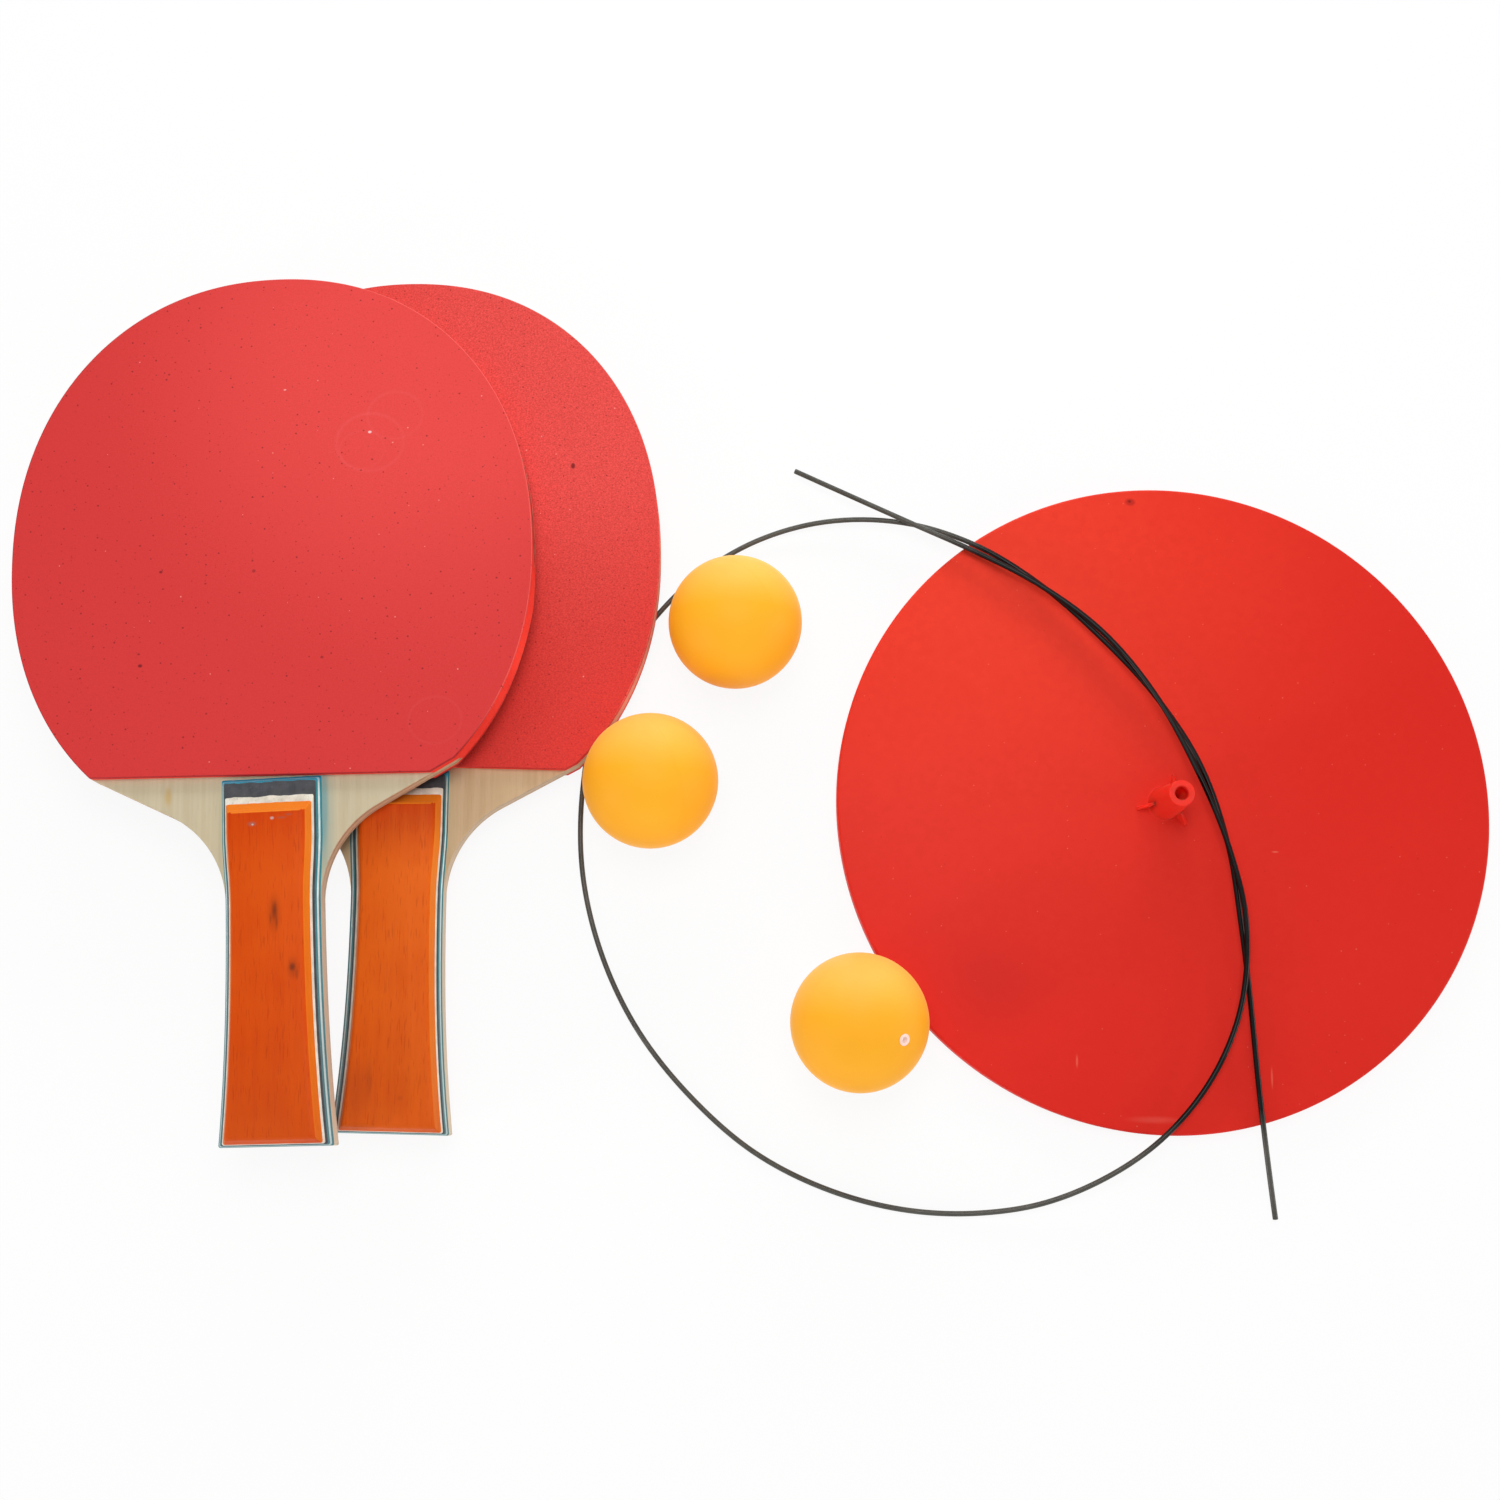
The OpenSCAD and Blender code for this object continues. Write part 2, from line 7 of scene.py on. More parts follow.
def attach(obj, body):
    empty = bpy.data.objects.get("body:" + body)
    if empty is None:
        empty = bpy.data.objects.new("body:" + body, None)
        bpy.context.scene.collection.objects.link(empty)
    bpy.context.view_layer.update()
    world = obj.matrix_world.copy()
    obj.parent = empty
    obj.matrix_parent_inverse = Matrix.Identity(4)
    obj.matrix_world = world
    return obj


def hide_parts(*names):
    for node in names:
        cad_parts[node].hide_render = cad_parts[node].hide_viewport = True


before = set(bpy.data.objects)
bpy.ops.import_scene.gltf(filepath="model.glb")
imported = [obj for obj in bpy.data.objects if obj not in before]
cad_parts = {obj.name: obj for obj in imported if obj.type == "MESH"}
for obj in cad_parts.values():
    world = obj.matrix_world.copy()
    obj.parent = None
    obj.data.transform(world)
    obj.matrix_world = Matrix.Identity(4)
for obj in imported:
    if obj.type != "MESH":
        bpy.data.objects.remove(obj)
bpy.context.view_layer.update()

scene = bpy.context.scene
mm = 0.001

# camera, measured from the photo's own perspective
view = {"place": (-124.565, -78.893, 514.5), "tilt": 10.3504, "roll": 1.07352, "lens": 40.8,
        "sensor": 36, "nearest": 0.01}

cameraData = bpy.data.cameras.new("camera")
cameraData.lens = view["lens"]
cameraData.sensor_width = view["sensor"]
cameraData.clip_start = view["nearest"]
camera = bpy.data.objects.new("camera", cameraData)
scene.collection.objects.link(camera)
camera.matrix_world = (Matrix.Translation(Vector(view["place"]) * mm)
                       @ Matrix.Rotation(math.radians(view["tilt"]), 4, "X")
                       @ Matrix.Rotation(math.radians(view["roll"]), 4, "Z"))
scene.camera = camera
print("camera set")


# small helpers for shader nodes
def linear(r, g, b):  # 0-255 screen colour to scene colour
    def one(c):
        c = c / 255
        return c / 12.92 if c <= 0.04045 else ((c + 0.055) / 1.055) ** 2.4
    return (one(r), one(g), one(b), 1)


def fill(tree, node, inputs):  # links sockets, sets plain values
    for key, value in inputs.items():
        if isinstance(value, bpy.types.NodeSocket):
            tree.links.new(value, node.inputs[key])
        else:
            node.inputs[key].default_value = value


def addNode(tree, kind, inputs=None, **settings):
    made = tree.nodes.new(kind)
    for key, value in settings.items():
        setattr(made, key, value)
    fill(tree, made, inputs or {})
    return made


def mathNode(tree, operation, a, b=0.0, clamp=False):
    return addNode(tree, "ShaderNodeMath", {0: a, 1: b}, operation=operation, use_clamp=clamp).outputs[0]


def vectorMath(tree, operation, a, b):
    return addNode(tree, "ShaderNodeVectorMath", {0: a, 1: b}, operation=operation).outputs[0]


def lengthOf(tree, vector):
    return addNode(tree, "ShaderNodeVectorMath", {0: vector}, operation="LENGTH").outputs["Value"]


def axes(tree, vector):
    return addNode(tree, "ShaderNodeSeparateXYZ", {0: vector}).outputs


def mapRange(tree, value, low, high, toLow=0.0, toHigh=1.0, smooth=False):
    kind = "SMOOTHSTEP" if smooth else "LINEAR"
    return addNode(tree, "ShaderNodeMapRange", {0: value, 1: low, 2: high, 3: toLow, 4: toHigh},
                   interpolation_type=kind).outputs[0]


def mixColor(tree, factor, a, b):
    return addNode(tree, "ShaderNodeMix", {0: factor, 6: a, 7: b}, data_type="RGBA").outputs[2]


def tint(tree, color, mask, amount, tone):  # lays a screen colour over another by a share of the mask
    return mixColor(tree, mathNode(tree, "MULTIPLY", mask, amount), color, linear(*tone))


def newGroup(name, inputs, outputs):
    group = bpy.data.node_groups.new(name, "ShaderNodeTree")
    for label, kind, value in inputs:
        made = group.interface.new_socket(label, in_out="INPUT", socket_type="NodeSocket" + kind)
        made.default_value = value
    for label, kind in outputs:
        group.interface.new_socket(label, in_out="OUTPUT", socket_type="NodeSocket" + kind)
    return group, group.nodes.new("NodeGroupInput").outputs, group.nodes.new("NodeGroupOutput").inputs


# scattered round specks, one in each chosen cell
specks, given, out = newGroup(
    "specks", [("Vector", "Vector", (0, 0, 0)), ("Scale", "Float", 400.0), ("Radius", "Float", 0.1),
               ("Share", "Float", 0.3)], [("Mask", "Float")])
cells = addNode(specks, "ShaderNodeTexVoronoi", {"Vector": given["Vector"], "Scale": given["Scale"]})
pick = addNode(specks, "ShaderNodeSeparateColor", {0: cells.outputs["Color"]}).outputs[0]
chosen = mathNode(specks, "LESS_THAN", pick, given["Share"])
inner = mathNode(specks, "MULTIPLY", given["Radius"], 0.45)
dot = mapRange(specks, cells.outputs["Distance"], given["Radius"], inner)
specks.links.new(mathNode(specks, "MULTIPLY", dot, chosen), out["Mask"])

# fine points scattered over a flat face, each of its own size
pricks, given, out = newGroup(
    "pricks", [("Vector", "Vector", (0, 0, 0)), ("Scale", "Float", 300.0), ("Radius", "Float", 0.08),
               ("Share", "Float", 0.3)], [("Mask", "Float")])
cells = addNode(pricks, "ShaderNodeTexVoronoi", {"Vector": given["Vector"], "Scale": given["Scale"]},
                voronoi_dimensions="2D")
picks = addNode(pricks, "ShaderNodeSeparateColor", {0: cells.outputs["Color"]}).outputs
chosen = mathNode(pricks, "LESS_THAN", picks[0], given["Share"])
outer = mathNode(pricks, "MULTIPLY", given["Radius"], mapRange(pricks, picks[1], 0.0, 1.0, 0.45, 1.3))
dot = mapRange(pricks, cells.outputs["Distance"], outer, mathNode(pricks, "MULTIPLY", outer, 0.4))
pricks.links.new(mathNode(pricks, "MULTIPLY", dot, chosen), out["Mask"])

# soft uneven patches
clouds, given, out = newGroup(
    "clouds", [("Vector", "Vector", (0, 0, 0)), ("Scale", "Float", 20.0), ("Detail", "Float", 3.0),
               ("Low", "Float", 0.35), ("High", "Float", 0.65)], [("Fac", "Float")])
cloudNoise = addNode(clouds, "ShaderNodeTexNoise", {
    "Vector": given["Vector"], "Scale": given["Scale"], "Detail": given["Detail"]}).outputs[0]
clouds.links.new(mapRange(clouds, cloudNoise, given["Low"], given["High"]), out["Fac"])

# one mark at a place, with a soft or hard rim
spot, given, out = newGroup(
    "spot", [("Vector", "Vector", (0, 0, 0)), ("Center", "Vector", (0, 0, 0)),
             ("Size", "Vector", (0.001, 0.001, 0.001)), ("Edge", "Float", 0.3), ("Amount", "Float", 1.0)],
    [("Mask", "Float")])
away = vectorMath(spot, "SUBTRACT", given["Vector"], given["Center"])
shrunk = vectorMath(spot, "DIVIDE", away, given["Size"])
span = lengthOf(spot, shrunk)
rimOut = mathNode(spot, "ADD", 1.0, given["Edge"])
rimIn = mathNode(spot, "SUBTRACT", 1.0, given["Edge"])
spotMask = mapRange(spot, span, rimOut, rimIn, smooth=True)
spot.links.new(mathNode(spot, "MULTIPLY", spotMask, given["Amount"]), out["Mask"])

# wood: long streaks and short open pores
grain, given, out = newGroup(
    "grain", [("Vector", "Vector", (0, 0, 0)), ("Stretch", "Vector", (600, 18, 600)),
              ("Pores", "Vector", (2600, 160, 2600))], [("Streaks", "Float"), ("Pores", "Float")])
longWay = vectorMath(grain, "MULTIPLY", given["Vector"], given["Stretch"])
shortWay = vectorMath(grain, "MULTIPLY", given["Vector"], given["Pores"])
streaks = addNode(grain, "ShaderNodeTexNoise",
                  {"Vector": longWay, "Scale": 1.0, "Detail": 5.0, "Roughness": 0.62}).outputs[0]
openings = addNode(grain, "ShaderNodeTexNoise", {"Vector": shortWay, "Scale": 1.0, "Detail": 1.0}).outputs[0]
grain.links.new(mapRange(grain, streaks, 0.3, 0.7), out["Streaks"])
grain.links.new(mapRange(grain, openings, 0.6, 0.72), out["Pores"])


def useGroup(tree, group, output, **inputs):
    made = addNode(tree, "ShaderNodeGroup", node_tree=group)
    fill(tree, made, inputs)
    return made.outputs[output]


def cloudy(tree, coords, scale, detail, low=0.3, high=0.7):
    return useGroup(tree, clouds, "Fac", Vector=coords, Scale=scale, Detail=detail, Low=low, High=high)


def newMaterial(name):
    material = bpy.data.materials.new(name)
    material.use_nodes = True
    tree = material.node_tree
    return material, tree, tree.nodes["Principled BSDF"], addNode(tree, "ShaderNodeTexCoord").outputs["Object"]


def onPaddle(tree, coords, paddle):  # object coordinates turned into the paddle's own
    return addNode(tree, "ShaderNodeMapping", {
        "Vector": coords, "Location": Vector(paddle["place"]) * mm,
        "Rotation": (math.radians(-paddle["pitch"]), 0, math.radians(paddle["turn"]))},
        vector_type="TEXTURE").outputs[0]


def addMarks(tree, coords, color, marks):  # each mark: centre, half sizes in mm, rim, amount, colour
    for center, size, edge, amount, tone in marks:
        mask = useGroup(tree, spot, "Mask", Vector=coords, Center=Vector(center) * mm,
                        Size=Vector(size) * mm, Edge=edge, Amount=amount)
        color = mixColor(tree, mask, color, linear(*tone))
    return color


def addBump(tree, shader, height, strength, depth):
    bump = addNode(tree, "ShaderNodeBump", {"Height": height, "Strength": strength, "Distance": depth * mm})
    tree.links.new(bump.outputs[0], shader.inputs["Normal"])


# mesh helpers, all in millimetres until the piece is finished
weldGap = 1e-4
cutGap = 1e-5
bevelSteps = 3
sharpFrom = 32  # degrees between faces


def finishPiece(bm, name, body, slotName, materials, *nodes):
    bmesh.ops.remove_doubles(bm, verts=bm.verts, dist=weldGap)
    bmesh.ops.recalc_face_normals(bm, faces=bm.faces)
    bmesh.ops.scale(bm, vec=(mm, mm, mm), verts=bm.verts)
    mesh = bpy.data.meshes.new(name)
    bm.to_mesh(mesh)
    bm.free()
    for material in materials:
        mesh.materials.append(material)
    mesh.shade_smooth()
    mesh.set_sharp_from_angle(angle=math.radians(sharpFrom))
    piece = bpy.data.objects.new(name, mesh)
    scene.collection.objects.link(piece)
    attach(piece, body)
    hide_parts(*nodes)


def spunProfile(points, steps):  # points are radius and height; the ends meet or lie on the axis
    bm = bmesh.new()
    verts = [bm.verts.new((r, 0, z)) for r, z in points]
    edges = [bm.edges.new(pair) for pair in zip(verts, verts[1:])]
    bmesh.ops.spin(bm, geom=verts + edges, cent=(0, 0, 0), axis=(0, 0, 1), dvec=(0, 0, 0),
                   angle=math.tau, steps=steps, use_merge=True)
    bmesh.ops.remove_doubles(bm, verts=bm.verts, dist=weldGap)
    bmesh.ops.recalc_face_normals(bm, faces=bm.faces)
    return bm


def arc(center, radius, first, last, steps):
    angles = [math.radians(first + (last - first) * k / steps) for k in range(steps + 1)]
    return [(center[0] + radius * math.cos(a), center[1] + radius * math.sin(a)) for a in angles]


def pushOut(bm, faces, vec):  # grows flat faces into a block
    grown = bmesh.ops.extrude_face_region(bm, geom=faces)["geom"]
    bmesh.ops.translate(bm, vec=vec, verts=[v for v in grown if isinstance(v, bmesh.types.BMVert)])
    bmesh.ops.recalc_face_normals(bm, faces=bm.faces)


def turnTo(bm, side):  # a layer of the back face is the front one's mirror image
    if side < 0:
        bmesh.ops.scale(bm, vec=(1, 1, -1), verts=bm.verts)
    bmesh.ops.recalc_face_normals(bm, faces=bm.faces)
    return bm


def tagFaces(bm, index, test):
    for face in bm.faces:
        if test(face):
            face.material_index = index


def joined(first, *others):
    for bm in others:
        part = bpy.data.meshes.new("part")
        bm.to_mesh(part)
        bm.free()
        first.from_mesh(part)
        bpy.data.meshes.remove(part)
    return first


# springy shaft: one bare rod that lies over the base and loops out over the floor
shaft = {
    "thick": 1.6, "length": 0.93, "curveSteps": 10, "roundSteps": 5, "paintedReflectionSpan": (0.094, 0.106),
    "route": [
        (-112, 104, 3.4), (-75.5, 86, 8), (-56.5, 77, 9.6), (-38, 67, 11), (-18.15, 51.85, 12),
        (-1.4, 30.5, 12.6), (8.2, 12, 12.8), (18.5, -14.5, 12.8), (22.75, -34.5, 12.4), (22.5, -51, 11.6),
        (20.5, -62, 11), (13.5, -79, 10), (-3, -99.5, 8.2), (-20.5, -111.5, 6), (-37.5, -118.5, 3.6),
        (-55, -121.5, 1.8), (-72.5, -121.5, 1), (-98.5, -116, 0.9), (-121, -105.5, 0.9), (-139.5, -90.5, 0.9),
        (-157.5, -69, 0.9), (-168.5, -47, 0.9), (-174.5, -24.5, 0.9), (-175.5, 1.5, 0.9), (-171, 28, 0.9),
        (-160, 49, 0.9), (-144, 68, 1), (-124.5, 81, 1.8), (-105.5, 87, 3.2), (-75.5, 86.5, 5.8),
        (-55.5, 79.5, 7.4), (-37.5, 68, 8.8), (-18.85, 51.15, 9.8), (-1, 31, 10.4), (10.3, 12.9, 10.6),
        (19, -14.5, 10.6), (21.8, -35, 10), (23.5, -51, 9.4), (26.5, -87.5, 7.8), (31, -121.5, 3.4)],
}


def shaftBlack():
    material, tree, shader, coords = newMaterial("shaftBlack")
    worn = cloudy(tree, coords, 130.0, 4.0, 0.4, 0.7)
    fine = cloudy(tree, coords, 2400.0, 2.0)
    flat = vectorMath(tree, "MULTIPLY", coords, (1, 1, 0))
    away = lengthOf(tree, flat)
    overBaseBlack = mixColor(tree, worn, linear(6, 5, 5), linear(14, 11, 11))
    paintedFloorReflection = mixColor(tree, worn, linear(78, 76, 70), linear(88, 86, 80))
    color = mixColor(tree, mapRange(tree, away, *shaft["paintedReflectionSpan"]), overBaseBlack, paintedFloorReflection)  # painted reflection of the white floor: greyer where the rod lies over the floor
    fill(tree, shader, {
        "Base Color": color,
        "Roughness": mapRange(tree, worn, 0.0, 1.0, 0.1, 0.16),
        "Specular IOR Level": 0.14,
    })
    addBump(tree, shader, fine, 0.04, 0.03)
    return material


def makeShaft():
    route = [Vector(p) * mm for p in shaft["route"]]
    chords = [b - a for a, b in zip(route, route[1:])]
    reach = [c.length for c in chords]
    heading = [c.normalized() for c in chords]
    inner = [(heading[i] * reach[i + 1] + heading[i + 1] * reach[i]) / (reach[i] + reach[i + 1])
             for i in range(len(chords) - 1)]
    slope = [2 * heading[0] - inner[0]] + inner + [2 * heading[-1] - inner[-1]]
    curve = bpy.data.curves.new("flexShaft", "CURVE")
    curve.dimensions = "3D"
    curve.resolution_u = shaft["curveSteps"]
    curve.bevel_depth = shaft["thick"] / 2 * mm
    curve.bevel_resolution = shaft["roundSteps"]
    curve.use_fill_caps = True
    spline = curve.splines.new("BEZIER")
    spline.bezier_points.add(len(route) - 1)
    for i, point in enumerate(spline.bezier_points):
        point.co = route[i]
        point.handle_left_type = point.handle_right_type = "FREE"
        before, after = reach[max(i - 1, 0)], reach[min(i, len(reach) - 1)]
        point.handle_left = route[i] - slope[i] * before / 3
        point.handle_right = route[i] + slope[i] * after / 3
    curve.materials.append(shaftBlack())
    piece = bpy.data.objects.new("flexShaft", curve)
    scene.collection.objects.link(piece)
    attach(piece, "shaft")
    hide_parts("flex_shaft")


makeShaft()
print("shaft laid")

# base: one moulded cover with a socket post and three gussets, over a rubber pad
base = {
    "place": (0.8, 0.5, 0), "radius": 98.8, "top": 6, "cover": 2, "skirt": 2, "rim": 0.9, "paintedTopLight": 0.4,
    "steps": 256, "rimSteps": 8,
    "postPlace": 1.4, "postFoot": 5.1, "postTop": 3.8, "postHeight": 20, "postRound": 0.3, "postFillet": 0.5,
    "postRoot": 0.8, "postSteps": 96, "lipSteps": 5, "glowFrom": 4,
    "socket": 2.0, "socketDepth": 14, "mouth": 0.3, "gripHole": 0.85, "gripDepth": 6, "gripSpare": 0.05,
    "gussets": 3, "gussetTurn": 72, "gussetThick": 1.0, "gussetReach": 9.0, "gussetHigh": 8.5, "gussetLow": 1,
    "gussetRoot": 1, "gussetRound": 0.18,
    "padRadius": 96.4, "padThick": 1.0, "padRound": 0.2, "padSteps": 4,
}
baseMarks = [
    ((-7.2, 95.0, 6), (1.5, 1.1, 3), 0.35, 0.55, (150, 26, 22)),  # moulding gate
    ((-7.4, 95.2, 6), (0.5, 0.4, 3), 0.4, 0.6, (92, 16, 14)),
    ((1.4, 0, 18), (2.2, 2.2, 9), 0.08, 1.0, (255, 110, 84)),  # painted light inside the socket, standing in for light through its thin wall
    ((1.4, 0, 26.2), (4.6, 4.6, 0.5), 0.3, 0.2, (255, 96, 76)),  # painted highlight on the top of the post
    ((-53.5, -54.1, 6), (12, 9, 9), 0.95, 0.42, (199, 40, 36)),  # painted shadow of the ball, beside it
    ((30.7, -81.1, 6), (0.25, 2.6, 3), 0.6, 0.5, (240, 110, 90)),  # hairs and scratches
    ((-26.6, -77.3, 6), (0.3, 1.6, 3), 0.6, 0.5, (240, 110, 90)),
    ((34.1, -14.2, 6), (0.9, 0.25, 3), 0.6, 0.5, (240, 120, 100)),
    ((-4.0, -93.8, 6), (6, 0.8, 3), 0.8, 0.4, (236, 92, 78)),  # pale smear
]


def redPlastic(name, glow):
    material, tree, shader, coords = newMaterial(name)
    flow = cloudy(tree, coords, 11.0, 3.0)
    mottle = cloudy(tree, coords, 420.0, 3.0)
    dust = useGroup(tree, pricks, "Mask", Vector=coords, Scale=210.0, Radius=0.045, Share=0.14)
    pits = useGroup(tree, pricks, "Mask", Vector=coords, Scale=260.0, Radius=0.05, Share=0.04)
    lean = useGroup(tree, spot, "Mask", Vector=coords, Center=(-0.06, 0.085, 0.006), Size=(0.082, 0.082, 0.082),
                    Edge=0.95, Amount=1.0)  # painted reflection: lighter, more orange towards the upper left, left of the shaft
    color = mixColor(tree, flow, linear(216, 40, 31), linear(220, 44, 33))
    color = mixColor(tree, lean, color, linear(235, 60, 40))
    color = tint(tree, color, mottle, 0.18, (208, 34, 25))
    color = tint(tree, color, dust, 0.45, (246, 130, 110))
    color = tint(tree, color, pits, 0.5, (150, 22, 18))
    color = addMarks(tree, coords, color, baseMarks)
    fill(tree, shader, {
        "Base Color": color,
        "Roughness": mapRange(tree, flow, 0.0, 1.0, 0.42, 0.54),
        "Specular IOR Level": 0.09,
        "Subsurface Weight": glow,  # light gets through the post's thin wall
        "Subsurface Radius": (1.0, 0.1, 0.06),
        "Subsurface Scale": 0.006,
    })
    fine = cloudy(tree, coords, 1500.0, 2.0)
    addBump(tree, shader, fine, 0.1, 0.05)
    return material


def padRubber():
    material, tree, shader, coords = newMaterial("padRubber")
    patch = cloudy(tree, coords, 60.0, 4.0, 0.35, 0.65)
    fine = cloudy(tree, coords, 900.0, 4.0)
    fill(tree, shader, {
        "Base Color": mixColor(tree, patch, linear(36, 36, 37), linear(52, 51, 50)),
        "Roughness": mapRange(tree, patch, 0.0, 1.0, 0.8, 0.92),
    })
    addBump(tree, shader, fine, 0.4, 0.15)
    return material


def ballastSteel():
    material, tree, shader, coords = newMaterial("ballastSteel")
    long = vectorMath(tree, "MULTIPLY", coords, (40, 1400, 1400))
    brush = cloudy(tree, long, 1.0, 4.0)
    fill(tree, shader, {
        "Base Color": mixColor(tree, brush, linear(150, 150, 150), linear(190, 190, 188)),
        "Roughness": mapRange(tree, brush, 0.0, 1.0, 0.35, 0.55),
        "Metallic": 1.0,
    })
    return material


def gusset(turn):
    b = base
    bm = bmesh.new()
    inner, outer, low = b["postTop"] - b["gussetThick"], b["gussetReach"], b["top"] - b["gussetRoot"]
    corners = [(inner, low), (outer, low), (outer, b["top"] + b["gussetLow"]), (inner, b["top"] + b["gussetHigh"])]
    face = bm.faces.new([bm.verts.new((x, -b["gussetThick"] / 2, z)) for x, z in corners])
    pushOut(bm, [face], (0, b["gussetThick"], 0))
    bmesh.ops.bevel(bm, geom=bm.edges[:], offset=b["gussetRound"], affect="EDGES", segments=bevelSteps, profile=0.5,
                    material=-1)
    bmesh.ops.rotate(bm, cent=(0, 0, 0), matrix=Matrix.Rotation(math.radians(turn), 3, "Z"), verts=bm.verts)
    return bm


def makeBase():
    b = base
    top, high = b["top"], b["top"] + b["postHeight"]
    floorZ, root = high - b["socketDepth"], top - b["postRoot"]
    rim = arc((b["radius"] - b["rim"], top - b["rim"]), b["rim"], 90, 0, b["rimSteps"])
    inside = b["radius"] - b["skirt"]
    under = [(b["radius"], b["paintedTopLight"]), (inside, b["paintedTopLight"]), (inside, top - b["cover"]), (0, top - b["cover"])]
    cover = spunProfile([(0, top)] + rim + under, b["steps"])
    bmesh.ops.translate(cover, vec=b["place"], verts=cover.verts)
    lip = arc((b["postTop"] - b["postRound"], high - b["postRound"]), b["postRound"], 90, 0, b["lipSteps"])
    foot = arc((b["postFoot"] + b["postFillet"], top + b["postFillet"]), b["postFillet"], 180, 270, b["lipSteps"])
    holeEnd = floorZ - b["gripDepth"] + b["gripSpare"]
    post = spunProfile([(0, holeEnd), (b["gripHole"], holeEnd), (b["gripHole"], floorZ), (b["socket"], floorZ),
                        (b["socket"], high - b["mouth"]), (b["socket"] + b["mouth"], high)]
                       + lip + foot + [(b["postFoot"] + b["postFillet"], root), (0, root)], b["postSteps"])
    joined(post, *[gusset(b["gussetTurn"] + 360 * k / b["gussets"]) for k in range(b["gussets"])])
    bmesh.ops.translate(post, vec=(b["postPlace"], 0, 0), verts=post.verts)
    tagFaces(post, 1, lambda f: f.calc_center_median().z > b["top"] + b["glowFrom"])
    red = [redPlastic("redPlastic", 0.0), redPlastic("redPost", 1.0)]
    finishPiece(joined(cover, post), "baseCover", "base", "red_plastic", red, "base_cover")
    thick, rounded, steps = b["padThick"], b["padRound"], b["padSteps"]
    reach = b["padRadius"] - rounded
    lower = arc((reach, rounded), rounded, -90, 0, steps)
    upper = arc((reach, thick - rounded), rounded, 0, 90, steps)
    pad = spunProfile([(0, 0)] + lower + upper + [(0, thick)], b["steps"])
    bmesh.ops.translate(pad, vec=b["place"], verts=pad.verts)
    finishPiece(pad, "footPad", "base", "foot_pad", [padRubber()], "foot_pad")


def dressNode(name, material):
    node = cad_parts[name]
    if not node.material_slots:
        node.data.materials.append(material)
    for place in node.material_slots:
        place.material = material


makeBase()
dressNode("ballast_plate", ballastSteel())
print("base made")

# balls: two thin halves and a bush that takes the shaft's end
ball = {"radius": 20, "wall": 0.45, "steps": 96, "arcSteps": 26, "seam": 0.03, "hole": 1.32,
        "seat": 19.9577, "flange": 1.7, "flangeThick": 0.35, "flangeRound": 0.12, "stem": 1.3, "stemLong": 8,
        "bore": 0.85, "boreFloor": 1, "bushSteps": 48, "roundSteps": 4}
ballPlaces = {"ball_1": ((-129.7, 50.3), (35, -32)), "ball_2": ((-153.729, 1.674), (20, -25)),
              "ball_3": ((-91.597, -67.531), (-23.2, 51.6))}


def ballOrange():
    material, tree, shader, coords = newMaterial("ballOrange")
    height = axes(tree, coords)[2]
    # painted light: a little lighter towards the top
    paintedTopLight = mapRange(tree, height, 0.0, 0.04)
    soft = cloudy(tree, coords, 90.0, 4.0, 0.35, 0.65)
    dust = useGroup(tree, specks, "Mask", Vector=coords, Scale=420.0, Radius=0.07, Share=0.05)
    color = mixColor(tree, paintedTopLight, linear(254, 170, 12), linear(255, 177, 26))
    facing = addNode(tree, "ShaderNodeLayerWeight", {"Blend": 0.5}).outputs["Facing"]
    glow = mapRange(tree, facing, 0.68, 1.0, 0.0, 0.7)  # painted light: lighter at the rims as seen from the camera, standing in for light through the thin wall
    color = mixColor(tree, glow, color, linear(255, 196, 112))
    # painted light: lighter on the side facing +Y, towards the back lamp
    paintedNorthLight = axes(tree, addNode(tree, "ShaderNodeNewGeometry").outputs["Normal"])[1]
    color = mixColor(tree, mapRange(tree, paintedNorthLight, 0.05, 0.85, 0.0, 0.75), color, linear(255, 204, 104))
    color = tint(tree, color, soft, 0.2, (254, 172, 34))
    color = tint(tree, color, dust, 0.5, (214, 132, 40))
    fill(tree, shader, {
        "Base Color": color,
        "Roughness": mapRange(tree, soft, 0.0, 1.0, 0.56, 0.64),
        "Specular IOR Level": 0.3,
    })
    fine = cloudy(tree, coords, 1300.0, 2.0)
    addBump(tree, shader, fine, 0.08, 0.05)
    return material


def bushWhite():
    material, tree, shader, coords = newMaterial("bushWhite")
    soft = cloudy(tree, coords, 700.0, 3.0)
    fill(tree, shader, {
        "Base Color": mixColor(tree, soft, linear(196, 166, 156), linear(208, 180, 170)),
        "Roughness": mapRange(tree, soft, 0.0, 1.0, 0.4, 0.55),
        "Emission Color": linear(255, 232, 224),  # painted glow: emission that stands in for light through the ball's wall
        "Emission Strength": 0.3,
        "Subsurface Weight": 0.8,
        "Subsurface Radius": (1.0, 0.9, 0.8),
        "Subsurface Scale": 0.002,
    })
    return material


